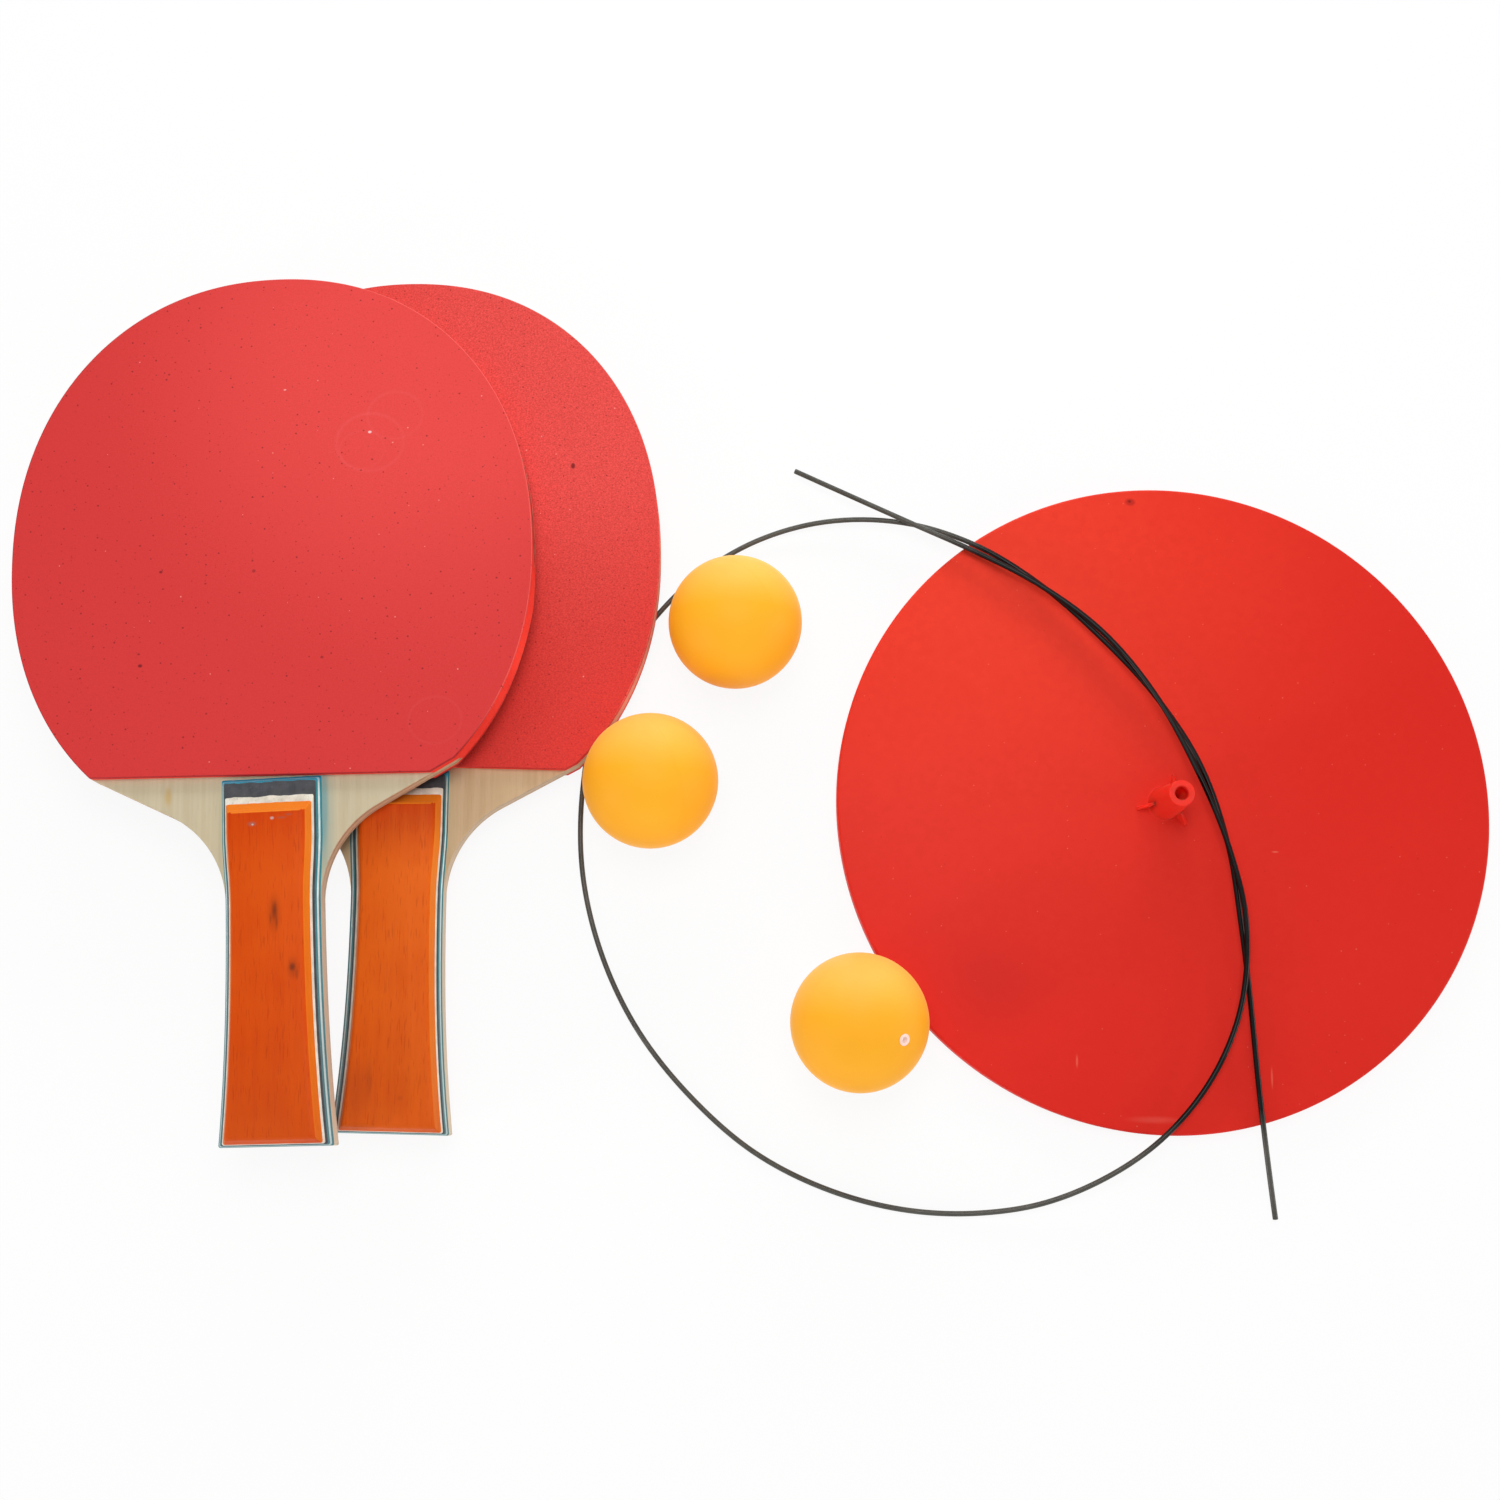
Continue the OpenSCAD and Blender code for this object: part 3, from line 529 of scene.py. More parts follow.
def makeBalls():
    orange, white = ballOrange(), bushWhite()
    b = ball
    outer, inner = b["radius"], b["radius"] - b["wall"]
    for name, (place, aim) in ballPlaces.items():
        turned = (Matrix.Translation((place[0], place[1], outer)) @ Matrix.Rotation(math.radians(aim[0]), 4, "Z")
                  @ Matrix.Rotation(math.radians(90 - aim[1]), 4, "Y"))
        shells = {}
        for half, hole, up in (("SocketHalf", b["hole"], 1), ("ClosedHalf", 0, -1)):
            high = [math.degrees(math.acos(hole / r)) for r in (outer, inner)]
            low = math.degrees(math.asin(b["seam"] / outer))
            profile = arc((0, 0), outer, high[0], low, b["arcSteps"]) + [(outer - b["seam"], 0)]
            profile += arc((0, 0), inner, 0, high[1], b["arcSteps"])
            if hole:
                profile.append(profile[0])
            shells[half] = spunProfile([(r, up * z) for r, z in profile], b["steps"])
        top, low = b["seat"] + b["flangeThick"], b["seat"] - b["stemLong"]
        rounded, steps = b["flangeRound"], b["roundSteps"]
        rim = arc((b["flange"] - rounded, top - rounded), rounded, 0, 90, steps)
        mouth = arc((b["bore"] + rounded, top - rounded), rounded, 90, 180, steps)
        profile = [(0, low), (b["stem"], low), (b["stem"], b["seat"]), (b["flange"], b["seat"])] + rim + mouth
        profile += [(b["bore"], low + b["boreFloor"]), (0, low + b["boreFloor"])]
        shells["Bush"] = spunProfile(profile, b["bushSteps"])
        short = name.replace("_", "")
        for bm in shells.values():
            bmesh.ops.transform(bm, matrix=turned, verts=bm.verts)
        finishPiece(shells["SocketHalf"], short + "SocketHalf", name, "ball_orange", [orange],
                    name + "_socket_half")
        finishPiece(shells["ClosedHalf"], short + "ClosedHalf", name, "ball_orange", [orange],
                    name + "_closed_half")
        finishPiece(shells["Bush"], short + "Bush", name, "bush_white", [white], name + "_bush")


makeBalls()
print("balls made")

# paddles: plies, rubber on both faces, and a grip of stacked veneers under an orange scale
blade = {
    "halfWide": 77.7, "halfLong": 88.4, "full": 2.14, "cut": -69.5, "skew": 2.2, "endSkew": 0.3, "join": -67.5,
    "waist": -107, "foot": -175, "waistHalf": 13.6, "shoulder": 31, "shoulderFrom": 118.5, "flare": 2.4,
    "corner": 0.6, "swell": 0.9, "swellLong": 20.625,
    "ovalSteps": 110, "arcSteps": 18, "sideSteps": 24, "cornerSteps": 5, "endSteps": 22,
    "faceLow": 1.8, "face": 2.7, "sponge": 3.9, "sheet": 4.9,
    "edge": 0.12, "spongeEdge": 0.05, "sheetEdge": 0.22, "border": 0.45, "roundSteps": 5, "near": 0.01,
}
slantCut = {"sideGain": 2, "footGain": 5, "footFrom": 0.1, "keepOff": 3}
raggedEnd = {"reach": 3, "coarse": 0.45, "fine": 1.7, "fineShare": 0.6, "shuffle": 3.1, "layer": 4.0}
edgeTests = {"lid": 0.9, "ply": 0.5, "sheet": 0.97, "scaleEnd": 0.9, "scaleSide": 0.55, "endward": 0.3,
             "footward": -0.7}
paddles = {
    "lower": {"place": (-231.1, 73.2, 7.61085), "turn": 1.8, "pitch": 1.69383, "footHalf": 17, "lean": 0,
              "shift": 0.7, "trim": 2, "raise": 0.71889, "slant": 0},
    "upper": {"place": (-268.7, 69.2, 19.14874), "turn": 4.5, "pitch": 2.71477, "footHalf": 16.1, "lean": 0.9,
              "shift": 0, "trim": 0, "raise": -0.58111, "slant": 1.5},
}
gripLevels = {  # height above the blade, then how far sides, upper end and foot stand in, and how ragged the end is
    "face": (0, 0, 0, 0, 0.1), "teal1": (0.7, 0.437, 0.525, 0.149, 0.08), "pale": (1.3, 0.812, 0.975, 0.276, 0.08),
    "teal2": (2.0, 1.25, 1.5, 0.425, 0.3), "charcoal": (2.8, 1.75, 5.9, 0.595, 0.3),
    "cream": (3.6, 2.25, 8.0, 0.765, 0.14), "edge": (5.7, 3.15, 10.4, 1.665, 0), "top": (7.2, 4.65, 11.9, 3.165, 0),
}


def placement(paddle):
    return (Matrix.Translation(paddle["place"]) @ Matrix.Rotation(math.radians(paddle["turn"]), 4, "Z")
            @ Matrix.Rotation(math.radians(-paddle["pitch"]), 4, "X"))


def handleHalf(paddle, y):
    b = blade
    drop = max(b["waist"] - y, 0) / (b["waist"] - b["foot"])
    rise = min(max((y - b["waist"]) / b["swellLong"], 0), 1)
    flare = (paddle["footHalf"] - b["waistHalf"]) * drop ** b["flare"]
    return b["waistHalf"] + flare + b["swell"] * rise * rise * (3 - 2 * rise)


def leaned(paddle, x, y):
    return (x + (blade["waist"] - y) * math.tan(math.radians(paddle["lean"])), y)


def bladeOutline(paddle):
    b = blade
    power, tilt = 2 / b["full"], math.tan(math.radians(b["skew"]))
    joinAngle = -math.degrees(math.asin((-b["join"] / b["halfLong"]) ** (1 / power)))
    half = []
    for k in range(1, b["ovalSteps"] + 1):
        a = math.radians(90 + (joinAngle - 90) * k / b["ovalSteps"])
        half.append((b["halfWide"] * abs(math.cos(a)) ** power,
                     math.copysign(b["halfLong"] * abs(math.sin(a)) ** power, math.sin(a))))
    half += arc((b["waistHalf"] + b["shoulder"], b["waist"]), b["shoulder"], b["shoulderFrom"], 180, b["arcSteps"])
    run = b["waist"] - b["foot"] - b["corner"]
    for k in range(1, b["sideSteps"] + 1):
        y = b["waist"] - run * k / b["sideSteps"]
        half.append((handleHalf(paddle, y), y))
    low = b["foot"] + b["corner"]
    half += arc((handleHalf(paddle, low) - b["corner"], low), b["corner"], 0, -90, b["cornerSteps"])[1:]
    whole = [(0, b["halfLong"])] + half + [(-x, y) for x, y in reversed(half)]
    whole = [(x, y - x * tilt if y < low + b["near"] else y) for x, y in whole]
    return [leaned(paddle, x, y) if y < b["waist"] else (x, y) for x, y in whole]


def slab(paddle, low, high, cut, edge, side):  # one layer of the blade, seen from its own face
    b = blade
    bm = bmesh.new()
    bm.faces.new([bm.verts.new((x, y, low)) for x, y in bladeOutline(paddle)])
    if cut:
        tilt = math.radians(b["skew"])
        bmesh.ops.bisect_plane(bm, geom=bm.verts[:] + bm.edges[:] + bm.faces[:], dist=cutGap, clear_inner=True,
                               plane_co=(0, b["cut"] + paddle["trim"], 0),
                               plane_no=(math.sin(tilt), math.cos(tilt), 0))
    pushOut(bm, bm.faces[:], (0, 0, high - low))
    lid = [f for f in bm.faces if f.normal.z > edgeTests["lid"]]
    rim = [e for f in lid for e in f.edges]
    bmesh.ops.inset_region(bm, faces=lid, thickness=b["border"], use_even_offset=True)
    bmesh.ops.bevel(bm, geom=rim, offset=edge, affect="EDGES", segments=bevelSteps, profile=0.5, material=-1)
    return turnTo(bm, side)


def trimSloped(bm, paddle):  # the sponge was cut at a slant along its lower right edge
    b, c, most = blade, slantCut, paddle["slant"]
    for v in bm.verts:
        if v.co.z < b["face"] + b["near"]:
            out = Vector((v.co.x / b["halfWide"] ** 2, v.co.y / b["halfLong"] ** 2)).normalized()
            sideward = min(max(out.x * c["sideGain"], 0), 1)
            slant = most * sideward * min(max(-out.y * c["footGain"] - c["footFrom"], 0), 1)
            v.co.x += out.x * slant
            v.co.y += out.y * slant if v.co.y > b["cut"] + c["keepOff"] else 0


def gripOutline(paddle, level):
    b, e = blade, raggedEnd
    height, sideIn, endIn, footIn, ragged = level
    top, foot, c = b["cut"] + paddle["raise"] - endIn, b["foot"] + footIn, b["corner"]
    run = paddle["shift"] * min(height / gripLevels["cream"][0], 1)
    footX, topX = handleHalf(paddle, foot + c) - sideIn, handleHalf(paddle, top - c) - sideIn
    right = arc((footX - c, foot + c), c, -90, 0, b["cornerSteps"])
    long = top - foot - 2 * c
    for k in range(1, b["sideSteps"]):
        y = foot + c + long * k / b["sideSteps"]
        right.append((handleHalf(paddle, y) - sideIn, y))
    right += arc((topX - c, top - c), c, 0, 90, b["cornerSteps"])
    flat = topX - c
    end = [(flat - 2 * flat * k / b["endSteps"], top) for k in range(1, b["endSteps"])]
    whole = right + end + [(-x, y) for x, y in reversed(right)]
    shape = []
    for x, y in whole:
        up = (y - b["foot"]) / (b["cut"] - b["foot"])
        tilt = math.tan(math.radians(b["skew"] + (b["endSkew"] - b["skew"]) * up))
        near = min(max((y - top + e["reach"]) / e["reach"], 0), 1)
        wave = noise.noise(Vector((x * e["coarse"], endIn * e["shuffle"], paddle["turn"])))
        wave += e["fineShare"] * noise.noise(Vector((x * e["fine"], endIn, e["layer"])))
        shape.append(leaned(paddle, x + run, y - x * tilt + ragged * near * wave))
    return shape


def gripLayer(paddle, levels, side):  # walls between the outlines, and a lid on both ends
    bm = bmesh.new()
    loops = []
    for level in levels:
        verts = [bm.verts.new((x, y, blade["face"] + level[0])) for x, y in gripOutline(paddle, level)]
        loops.append([bm.edges.new(pair) for pair in zip(verts, verts[1:] + verts[:1])])
    for low, high in zip(loops, loops[1:]):
        bmesh.ops.bridge_loops(bm, edges=low + high)
    for loop in (loops[0], loops[-1]):
        bmesh.ops.edgeloop_fill(bm, edges=loop)
    return turnTo(bm, side)


def scaleLevels():
    low, high = gripLevels["edge"], gripLevels["top"]
    curved = []
    for k in range(1, blade["roundSteps"] + 1):
        a = math.radians(90 * k / blade["roundSteps"])
        shares = [math.sin(a)] + [1 - math.cos(a)] * (len(low) - 1)
        curved.append(tuple(f + (l - f) * s for f, l, s in zip(low, high, shares)))
    return [gripLevels["cream"], low] + curved


rubberLooks = {  # tones away from and near the lit corner, then what is on them
    "upper": {
        "far": (210, 54, 52), "near": (228, 70, 66), "lit": (46, 62), "grain": (190, 44, 46), "grainAmount": 0.18,
        "pores": (118, 22, 28), "poreShare": 0.3, "poreSize": 0.085, "pinholes": 0.06, "bump": 0.12,
        "rims": ((168, 40, 44), (240, 98, 92)),
        "marks": [
            ((-33.2, -5.6, 4.9), (0.5, 0.4, 2), 0.4, 0.8, (110, 24, 28)),
            ((-38.8, -34.4, 4.9), (0.6, 0.5, 2), 0.4, 0.9, (110, 20, 26)),
            ((-39.3, -30.8, 4.9), (0.35, 0.3, 2), 0.4, 0.7, (120, 24, 28)),
            ((-31.8, 58.2, 4.9), (0.35, 0.3, 2), 0.4, 0.6, (120, 24, 28)),
            ((14.7, -34.9, 4.9), (0.5, 0.4, 2), 0.4, 0.6, (120, 28, 30)),
            ((-5.5, -6.9, 4.9), (0.5, 0.5, 2), 0.4, 0.6, (120, 28, 30)),
            ((3.7, 51.0, 4.9), (0.4, 0.2, 2), 0.4, 0.7, (248, 190, 186)),
            ((29.5, 35.6, 4.9), (0.5, 0.4, 2), 0.4, 0.7, (250, 222, 220))],
    },
    "lower": {
        "far": (222, 58, 48), "near": (241, 84, 77), "lit": (40, 56), "grain": (186, 40, 40), "grainAmount": 0.6,
        "pores": (140, 26, 28), "poreShare": 0.55, "poreSize": 0.075, "pinholes": 0.3, "bump": 0.25,
        "rims": ((196, 52, 48), (246, 104, 94)),
        "marks": [((50.9, 26.5, 4.9), (0.6, 0.9, 2), 0.4, 0.9, (112, 20, 22))],
    },
}
scuffs = [((29.5, 32.3, 4.9), 10.6, 0.1), ((37.2, 40.7, 4.9), 8.7, 0.08),  # ring-shaped: centre, radius, amount
          ((27.0, 30.0, 4.9), 7.0, 0.06), ((47.6, -56.0, 4.9), 8.0, 0.06)]
scuffOvals = ((1.0, 0.92), (0.93, 0.84))  # outer and inner rim, as shares of the radius


def rubberRed(which, rim):
    material, tree, shader, coords = newMaterial(which + ("RubberRim" if rim else "Rubber"))
    look = rubberLooks[which]
    coords = onPaddle(tree, coords, paddles[which])
    patch = cloudy(tree, coords, 16.0, 3.0)
    dapple = cloudy(tree, coords, 2200.0, 2.0)
    pores = useGroup(tree, pricks, "Mask", Vector=coords, Scale=300.0, Radius=look["poreSize"],
                     Share=look["poreShare"])
    pinholes = useGroup(tree, pricks, "Mask", Vector=coords, Scale=1000.0, Radius=0.24, Share=look["pinholes"])
    dust = useGroup(tree, pricks, "Mask", Vector=coords, Scale=220.0, Radius=0.05, Share=0.04)
    # rim faces: painted highlight on the right side above the cut, painted shade along the cut and on the left
    if rim:
        across, along = axes(tree, coords)[:2]
        light = mathNode(tree, "MULTIPLY", mapRange(tree, across, -0.06, 0.03),
                         mapRange(tree, along, -0.066, -0.05))
        color = mixColor(tree, light, linear(*look["rims"][0]), linear(*look["rims"][1]))
    else:
        lit = useGroup(tree, spot, "Mask", Vector=coords, Center=Vector((*look["lit"], 0)) * mm,
                       Size=(0.07, 0.07, 0.07), Edge=0.6, Amount=1.0)
        color = mixColor(tree, lit, linear(*look["far"]), linear(*look["near"]))
    color = tint(tree, color, patch, 0.12, look["far"])
    color = tint(tree, color, dapple, look["grainAmount"], look["grain"])
    color = tint(tree, color, pinholes, 0.35, look["pores"])
    color = tint(tree, color, pores, 0.8, look["pores"])
    color = tint(tree, color, dust, 0.6, (250, 170, 160))
    if which == "upper":
        for center, radius, amount in scuffs:
            wide, slim = [useGroup(tree, spot, "Mask", Vector=coords, Center=Vector(center) * mm, Edge=0.06,
                                   Size=Vector((radius * x, radius * y, 9)) * mm) for x, y in scuffOvals]
            ring = mathNode(tree, "SUBTRACT", wide, slim, True)
            ring = mathNode(tree, "MULTIPLY", ring, mathNode(tree, "MULTIPLY", patch, amount))
            color = mixColor(tree, ring, color, linear(252, 150, 148))
    color = addMarks(tree, coords, color, look["marks"])
    fill(tree, shader, {
        "Base Color": color,
        "Roughness": mapRange(tree, dapple, 0.0, 1.0, 0.6, 0.74),
        "Specular IOR Level": 0.2,
    })
    addBump(tree, shader, mathNode(tree, "SUBTRACT", dapple, pores), look["bump"], 0.12)
    return material


def spongeRed(which):
    material, tree, shader, coords = newMaterial(which + "Sponge")
    coords = onPaddle(tree, coords, paddles[which])
    cells = useGroup(tree, specks, "Mask", Vector=coords, Scale=1500.0, Radius=0.35, Share=0.7)
    patch = cloudy(tree, coords, 70.0, 3.0, 0.35, 0.65)
    color = mixColor(tree, patch, linear(232, 42, 26), linear(242, 54, 34))
    color = tint(tree, color, cells, 0.2, (206, 36, 22))
    fill(tree, shader, {
        "Base Color": color,
        "Roughness": mapRange(tree, cells, 0.0, 1.0, 0.8, 0.92),
    })
    addBump(tree, shader, cells, 0.5, -0.12)
    return material


woodLooks = {  # paddle, dark and light tone, share of the pores, marks
    "lowerFacePly": ("lower", (198, 167, 128), (212, 184, 146), 0.12, []),
    "upperFacePly": ("upper", (195, 181, 149), (206, 194, 164), 0.1, [
        ((-30.6, -73.9, 2.7), (0.9, 2.4, 2), 0.7, 0.65, (196, 160, 92)),  # small knot
        ((15.0, -86.0, 2.7), (2.4, 18, 2), 0.8, 0.4, (126, 164, 160)),  # dye that bled from the veneers
        ((14.6, -80.0, 2.7), (1.1, 12, 2), 0.6, 0.55, (70, 146, 158))]),
    "lowerPlyCore": ("lower", (196, 160, 122), (222, 190, 150), 0.4, []),
    "upperPlyCore": ("upper", (190, 156, 122), (214, 182, 146), 0.4, []),
    "lowerPlyCross": ("lower", (150, 104, 74), (186, 138, 104), 0.5, []),
    "upperPlyCross": ("upper", (146, 102, 76), (180, 134, 104), 0.5, []),
    "lowerPlyEdge": ("lower", (190, 150, 112), (216, 178, 138), 0.3, []),
    "upperPlyEdge": ("upper", (190, 150, 116), (214, 180, 144), 0.3, []),
}
edgeLooks = {  # how sanded the edge is, how far the right edge takes on a tone, and that tone: dark painted shade on the upper paddle, a paler tone on the lower
    "lower": (0.6, 0.85, (236, 132, 104)), "upper": (0.2, 0.85, (150, 30, 28)),
}


def plyWood(name):
    which, dark, light, poreAmount, marks = woodLooks[name]
    material, tree, shader, coords = newMaterial(name)
    coords = onPaddle(tree, coords, paddles[which])
    streaks = useGroup(tree, grain, "Streaks", Vector=coords)
    pores = useGroup(tree, grain, "Pores", Vector=coords)
    patch = cloudy(tree, coords, 30.0, 3.0)
    color = mixColor(tree, streaks, linear(*dark), linear(*light))
    color = tint(tree, color, patch, 0.3, dark)
    color = tint(tree, color, pores, poreAmount, [c * 0.72 for c in dark])
    color = addMarks(tree, coords, color, marks)
    if "Face" not in name:
        across, along = axes(tree, coords)[:2]
        sanded, rightEdgeShare, rightEdgeTone = edgeLooks[which]
        rubbed = mapRange(tree, along, -0.09, -0.112, sanded, 0.9)  # most on the handle
        color = mixColor(tree, rubbed, color, linear(212, 198, 174))
        # painted shade on the upper paddle's right edge; the lower's right edge turns paler
        rightEdgeMask = mapRange(tree, along, -0.062, -0.05, 0.0, rightEdgeShare)
        color = tint(tree, color, rightEdgeMask, mapRange(tree, across, 0.02, 0.05), rightEdgeTone)  # on the right side only
    fill(tree, shader, {
        "Base Color": color,
        "Roughness": mapRange(tree, streaks, 0.0, 1.0, 0.72, 0.58),
        "Specular IOR Level": 0.3,
    })
    addBump(tree, shader, mathNode(tree, "SUBTRACT", streaks, pores), 0.3, 0.08)
    return material


veneerLooks = {  # two tones, patch scale, flecks' tone and amount
    "Teal": ((44, 112, 124), (58, 144, 156), 120.0, (150, 196, 200), 0.2),
    "Pale": ((196, 216, 216), (232, 242, 240), 200.0, (130, 168, 174), 0.3),
    "Charcoal": ((54, 56, 60), (74, 75, 79), 420.0, (104, 104, 106), 0.3),
    "Cream": ((208, 202, 186), (236, 230, 216), 300.0, (136, 134, 130), 0.3),
}
sandedTones = {"Teal": (92, 120, 122), "Pale": (168, 190, 190)}


def veneerWood(which, name):
    dark, light, size, fleck, amount = veneerLooks[name]
    material, tree, shader, coords = newMaterial(which + name + "Veneer")
    coords = onPaddle(tree, coords, paddles[which])
    patch = cloudy(tree, coords, size, 4.0, 0.32, 0.68)
    flecks = useGroup(tree, specks, "Mask", Vector=coords, Scale=1300.0, Radius=0.3, Share=0.35)
    pores = useGroup(tree, grain, "Pores", Vector=coords)
    color = mixColor(tree, patch, linear(*dark), linear(*light))
    if name in sandedTones:  # brighter dye at the upper end, sanded grey towards the foot
        along = axes(tree, coords)[1]
        color = mixColor(tree, mapRange(tree, along, -0.0725, -0.0705, 0.0, 0.9), color, linear(6, 150, 190))
        color = mixColor(tree, mapRange(tree, along, -0.10, -0.15, 0.0, 0.7), color, linear(*sandedTones[name]))
    color = tint(tree, color, flecks, amount, fleck)
    color = tint(tree, color, pores, 0.25, [c * 0.7 for c in dark])
    fill(tree, shader, {
        "Base Color": color,
        "Roughness": mapRange(tree, patch, 0.0, 1.0, 0.6, 0.75),
        "Specular IOR Level": 0.3,
    })
    addBump(tree, shader, mathNode(tree, "ADD", patch, flecks), 0.3, 0.08)
    return material


gripMarks = {
    "upper": [
        ((2.2, -110.8, 9.9), (1.4, 4.0, 3), 0.95, 0.5, (140, 52, 16)),  # burnt knot in the middle
        ((2.3, -110.0, 9.9), (0.6, 2.0, 3), 0.9, 0.6, (84, 38, 20)),
        ((2.9, -113.5, 9.9), (0.3, 1.6, 3), 0.9, 0.45, (100, 42, 18)),
        ((1.2, -112.2, 9.9), (0.25, 1.2, 3), 0.9, 0.4, (104, 44, 18)),
        ((7.5, -126.6, 9.9), (1.2, 2.2, 3), 0.95, 0.5, (136, 54, 18)),  # second knot
        ((7.3, -126.2, 9.9), (0.7, 0.9, 3), 0.8, 0.65, (78, 40, 26)),
        ((8.6, -128.4, 9.9), (0.4, 1.3, 3), 0.8, 0.4, (120, 50, 20)),
        ((-4.2, -84.8, 9.9), (1.0, 0.6, 3), 0.7, 0.55, (150, 110, 100)),  # chips near the upper end
        ((-4.0, -85.0, 9.9), (0.3, 0.25, 3), 0.5, 0.7, (205, 196, 190)),
        ((1.5, -83.4, 9.9), (0.5, 0.4, 3), 0.6, 0.65, (196, 184, 178)),
        ((4.2, -83.4, 9.9), (1.1, 0.3, 3), 0.8, 0.5, (150, 92, 76)),
        ((6.2, -82.6, 9.9), (0.8, 0.3, 3), 0.8, 0.5, (150, 92, 76))],
    "lower": [
        ((-9.0, -163.0, 9.9), (3.0, 7.0, 3), 0.95, 0.35, (160, 58, 24)),  # dark streaks near the foot
        ((-5.0, -160.0, 9.9), (0.9, 5.0, 3), 0.95, 0.3, (150, 56, 26)),
        ((4.0, -165.0, 9.9), (0.7, 0.6, 3), 0.9, 0.3, (170, 64, 26))],
}
gripTones = {"upper": ((202, 64, 6), (220, 86, 14)), "lower": ((210, 80, 10), (228, 102, 22)),
             "edge": ((224, 108, 24), (236, 130, 36))}


def gripOrange(which, edge):
    material, tree, shader, coords = newMaterial(which + ("GripEdge" if edge else "GripOrange"))
    coords = onPaddle(tree, coords, paddles[which])
    streaks = useGroup(tree, grain, "Streaks", Vector=coords, Stretch=(420, 22, 420))
    pores = useGroup(tree, grain, "Pores", Vector=coords, Pores=(2600, 190, 2600))
    patch = cloudy(tree, coords, 38.0, 3.0)
    dark, light = gripTones["edge" if edge else which]
    color = mixColor(tree, patch, linear(*dark), linear(*light))
    along = axes(tree, coords)[1]
    color = mixColor(tree, mapRange(tree, along, -0.14, -0.17, 0.0, 0.5), color, linear(196, 76, 26))
    color = mixColor(tree, mapRange(tree, along, -0.1, -0.082, 0.0, 0.0 if edge else 0.9), color,
                     linear(197, 54, 0))
    color = tint(tree, color, streaks, 0.45, light)
    color = tint(tree, color, pores, 0.12 if edge else 0.32, (160, 46, 10))
    color = addMarks(tree, coords, color, gripMarks[which])
    fill(tree, shader, {
        "Base Color": color,
        "Roughness": mapRange(tree, streaks, 0.0, 1.0, 0.5, 0.4),
        "Specular IOR Level": 0.07,
    })
    addBump(tree, shader, mathNode(tree, "SUBTRACT", streaks, pores), 0.22, 0.08)
    return material


def scaleEdge(face):  # the pale border of the orange scale, which its foot doesn't have
    limits, up = edgeTests, face.normal.y
    steep = limits["scaleEnd"] if up > limits["endward"] else limits["scaleSide"]
    return abs(face.normal.z) < steep and up > limits["footward"]


def makePaddle(which):
    paddle, g, b, limits = paddles[which], gripLevels, blade, edgeTests
    body, turned = which + "_paddle", placement(paddle)
    sides = (("front", 1), ("back", -1))

    def finish(bm, name, slotName, materials, node):
        bmesh.ops.transform(bm, matrix=turned, verts=bm.verts)
        finishPiece(bm, which + name, body, slotName, materials, which + "_" + node)

    faces = joined(*[slab(paddle, b["faceLow"], b["face"], False, b["edge"], side) for side in (1, -1)])
    tagFaces(faces, 1, lambda f: abs(f.normal.z) < limits["ply"])
    ply = [plyWood(which + "FacePly"), plyWood(which + "PlyEdge")]
    finish(faces, "FacePlies", which + "_face_ply", ply, "face_plies")
    rubber, sponge = [rubberRed(which, False), rubberRed(which, True)], spongeRed(which)
    for label, side in sides:
        name = label.capitalize()
        layer = slab(paddle, b["face"], b["sponge"], True, b["spongeEdge"], side)
        if side > 0:
            trimSloped(layer, paddle)
        finish(layer, name + "Sponge", "sponge", [sponge], label + "_sponge")
        sheet = slab(paddle, b["sponge"], b["sheet"], True, b["sheetEdge"], side)
        tagFaces(sheet, 1, lambda f: abs(f.normal.z) < limits["sheet"])
        finish(sheet, name + "Rubber", which + "_rubber", rubber, label + "_rubber")
    stacks = {"Teal": (("face", "teal1"), ("pale", "teal2")), "Pale": (("teal1", "pale"),),
              "Charcoal": (("teal2", "charcoal"),), "Cream": (("charcoal", "cream"),)}
    for name, pairs in stacks.items():
        layers = [gripLayer(paddle, (g[low], g[high]), side) for low, high in pairs for side in (1, -1)]
        low = name.lower()
        finish(joined(*layers), name + "Veneers", "veneer_" + low, [veneerWood(which, name)], low + "_veneers")
    orange = [gripOrange(which, False), gripOrange(which, True)]
    for label, side in sides:
        scale = gripLayer(paddle, scaleLevels(), side)
        tagFaces(scale, 1, scaleEdge)
        finish(scale, label.capitalize() + "Scale", "grip_orange", orange, label + "_scale")
    dressNode(which + "_blade_core", plyWood(which + "PlyCore"))
    dressNode(which + "_cross_plies", plyWood(which + "PlyCross"))


for which in paddles:
    makePaddle(which)
    print(which, "paddle made")

# studio: pale floor, soft light from above the middle, white surround
studio = {"floor": 3.0, "floorPlace": (-0.13, 0, -0.00005), "floorTone": 0.94, "floorWhite": 0.9,
          "fade": (0.45, 0.9), "worldLight": 0.36, "aim": (-0.13, 0.05, 0)}
lamps = {  # place, size across and along, watts
    "key": ((-0.13, 0.12, 0.62), (0.3, 0.3), 1.65),
    "back": ((-0.13, 0.95, 0.36), (0.9, 0.24), 5.0),
    "front": ((-0.13, -0.95, 0.22), (1.4, 0.4), 2.9),
    "left": ((-1.0, -0.52, 0.28), (0.2, 0.4), 2.4),
    "right": ((0.85, -0.15, 0.2), (0.5, 0.3), 2.6),
}


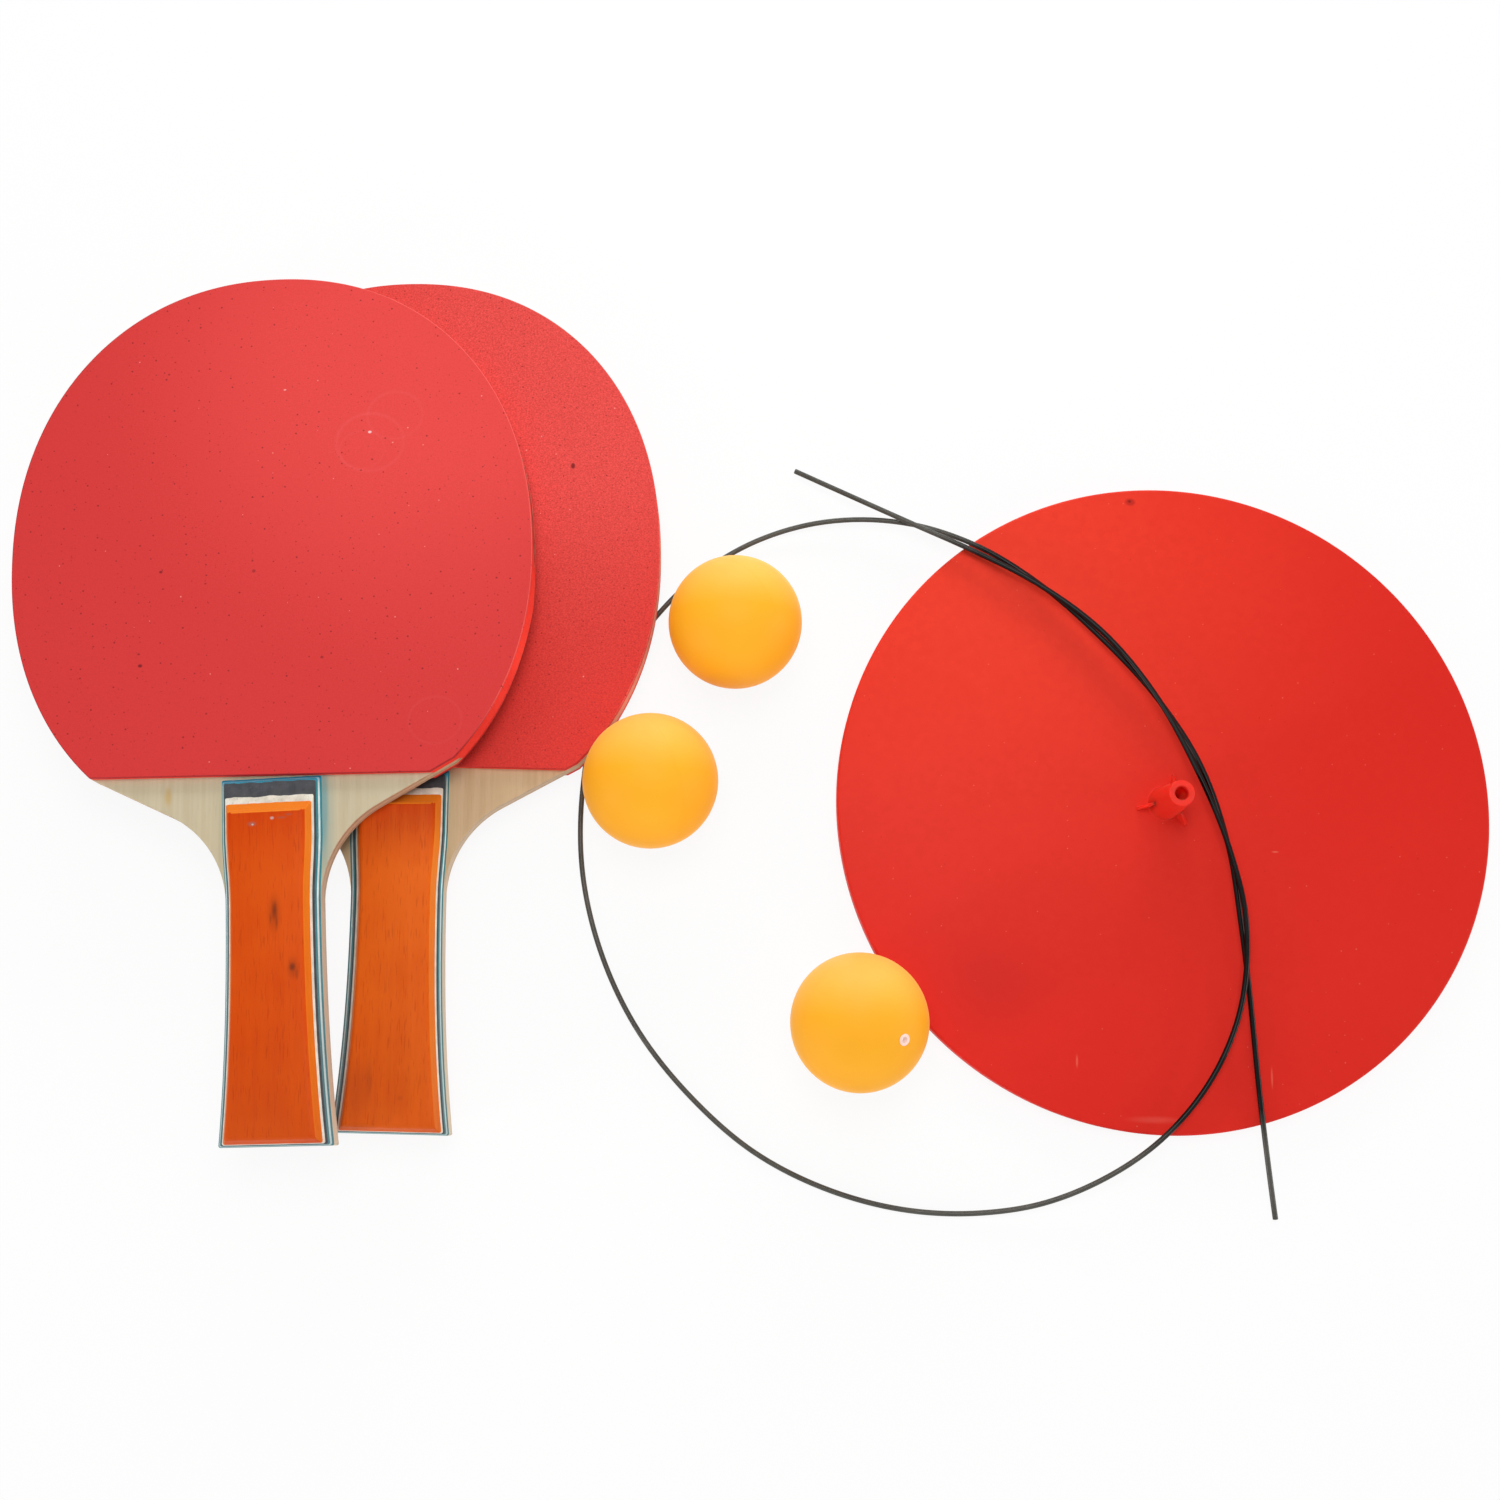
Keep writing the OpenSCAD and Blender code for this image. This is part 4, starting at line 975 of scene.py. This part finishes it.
def seenDirectly(tree):  # camera, glossy and transmitted rays
    path = addNode(tree, "ShaderNodeLightPath")
    first = mathNode(tree, "MAXIMUM", path.outputs["Is Camera Ray"], path.outputs["Is Glossy Ray"])
    return mathNode(tree, "MAXIMUM", first, path.outputs["Is Transmission Ray"])


def makeStudio():
    bm = bmesh.new()
    bmesh.ops.create_grid(bm, x_segments=2, y_segments=2, size=studio["floor"])
    bmesh.ops.translate(bm, vec=studio["floorPlace"], verts=bm.verts)
    mesh = bpy.data.meshes.new("floor")
    bm.to_mesh(mesh)
    bm.free()
    floor = bpy.data.objects.new("floor", mesh)
    scene.collection.objects.link(floor)
    material, tree, shader, coords = newMaterial("floorPale")
    tree.nodes.remove(shader)
    matte = addNode(tree, "ShaderNodeBsdfDiffuse", {"Color": (*[studio["floorTone"]] * 3, 1)}).outputs[0]
    glow = addNode(tree, "ShaderNodeEmission", {"Color": (1, 1, 1, 1), "Strength": 1.0}).outputs[0]
    away = vectorMath(tree, "SUBTRACT", coords, studio["aim"])
    span = lengthOf(tree, away)
    white = mapRange(tree, span, *studio["fade"], studio["floorWhite"], 1.0)  # far floor joins the white surround
    share = mathNode(tree, "MULTIPLY", seenDirectly(tree), white)
    mixed = addNode(tree, "ShaderNodeMixShader", {0: share, 1: matte, 2: glow}).outputs[0]
    tree.links.new(mixed, tree.nodes["Material Output"].inputs["Surface"])
    mesh.materials.append(material)

    world = bpy.data.worlds.new("surround")
    world.use_nodes = True
    scene.world = world
    tree = world.node_tree
    strength = mapRange(tree, seenDirectly(tree), 0.0, 1.0, studio["worldLight"], 1.0)
    fill(tree, tree.nodes["Background"], {"Color": (1, 1, 1, 1), "Strength": strength})

    for name, (place, size, power) in lamps.items():
        lamp = bpy.data.lights.new(name, "AREA")
        lamp.shape = "RECTANGLE"
        lamp.size, lamp.size_y = size
        lamp.energy = power
        light = bpy.data.objects.new(name, lamp)
        scene.collection.objects.link(light)
        light.location = place
        light.rotation_euler = (Vector(studio["aim"]) - light.location).to_track_quat("-Z", "Y").to_euler()


makeStudio()
scene.view_settings.view_transform = "Standard"
print("studio lit")
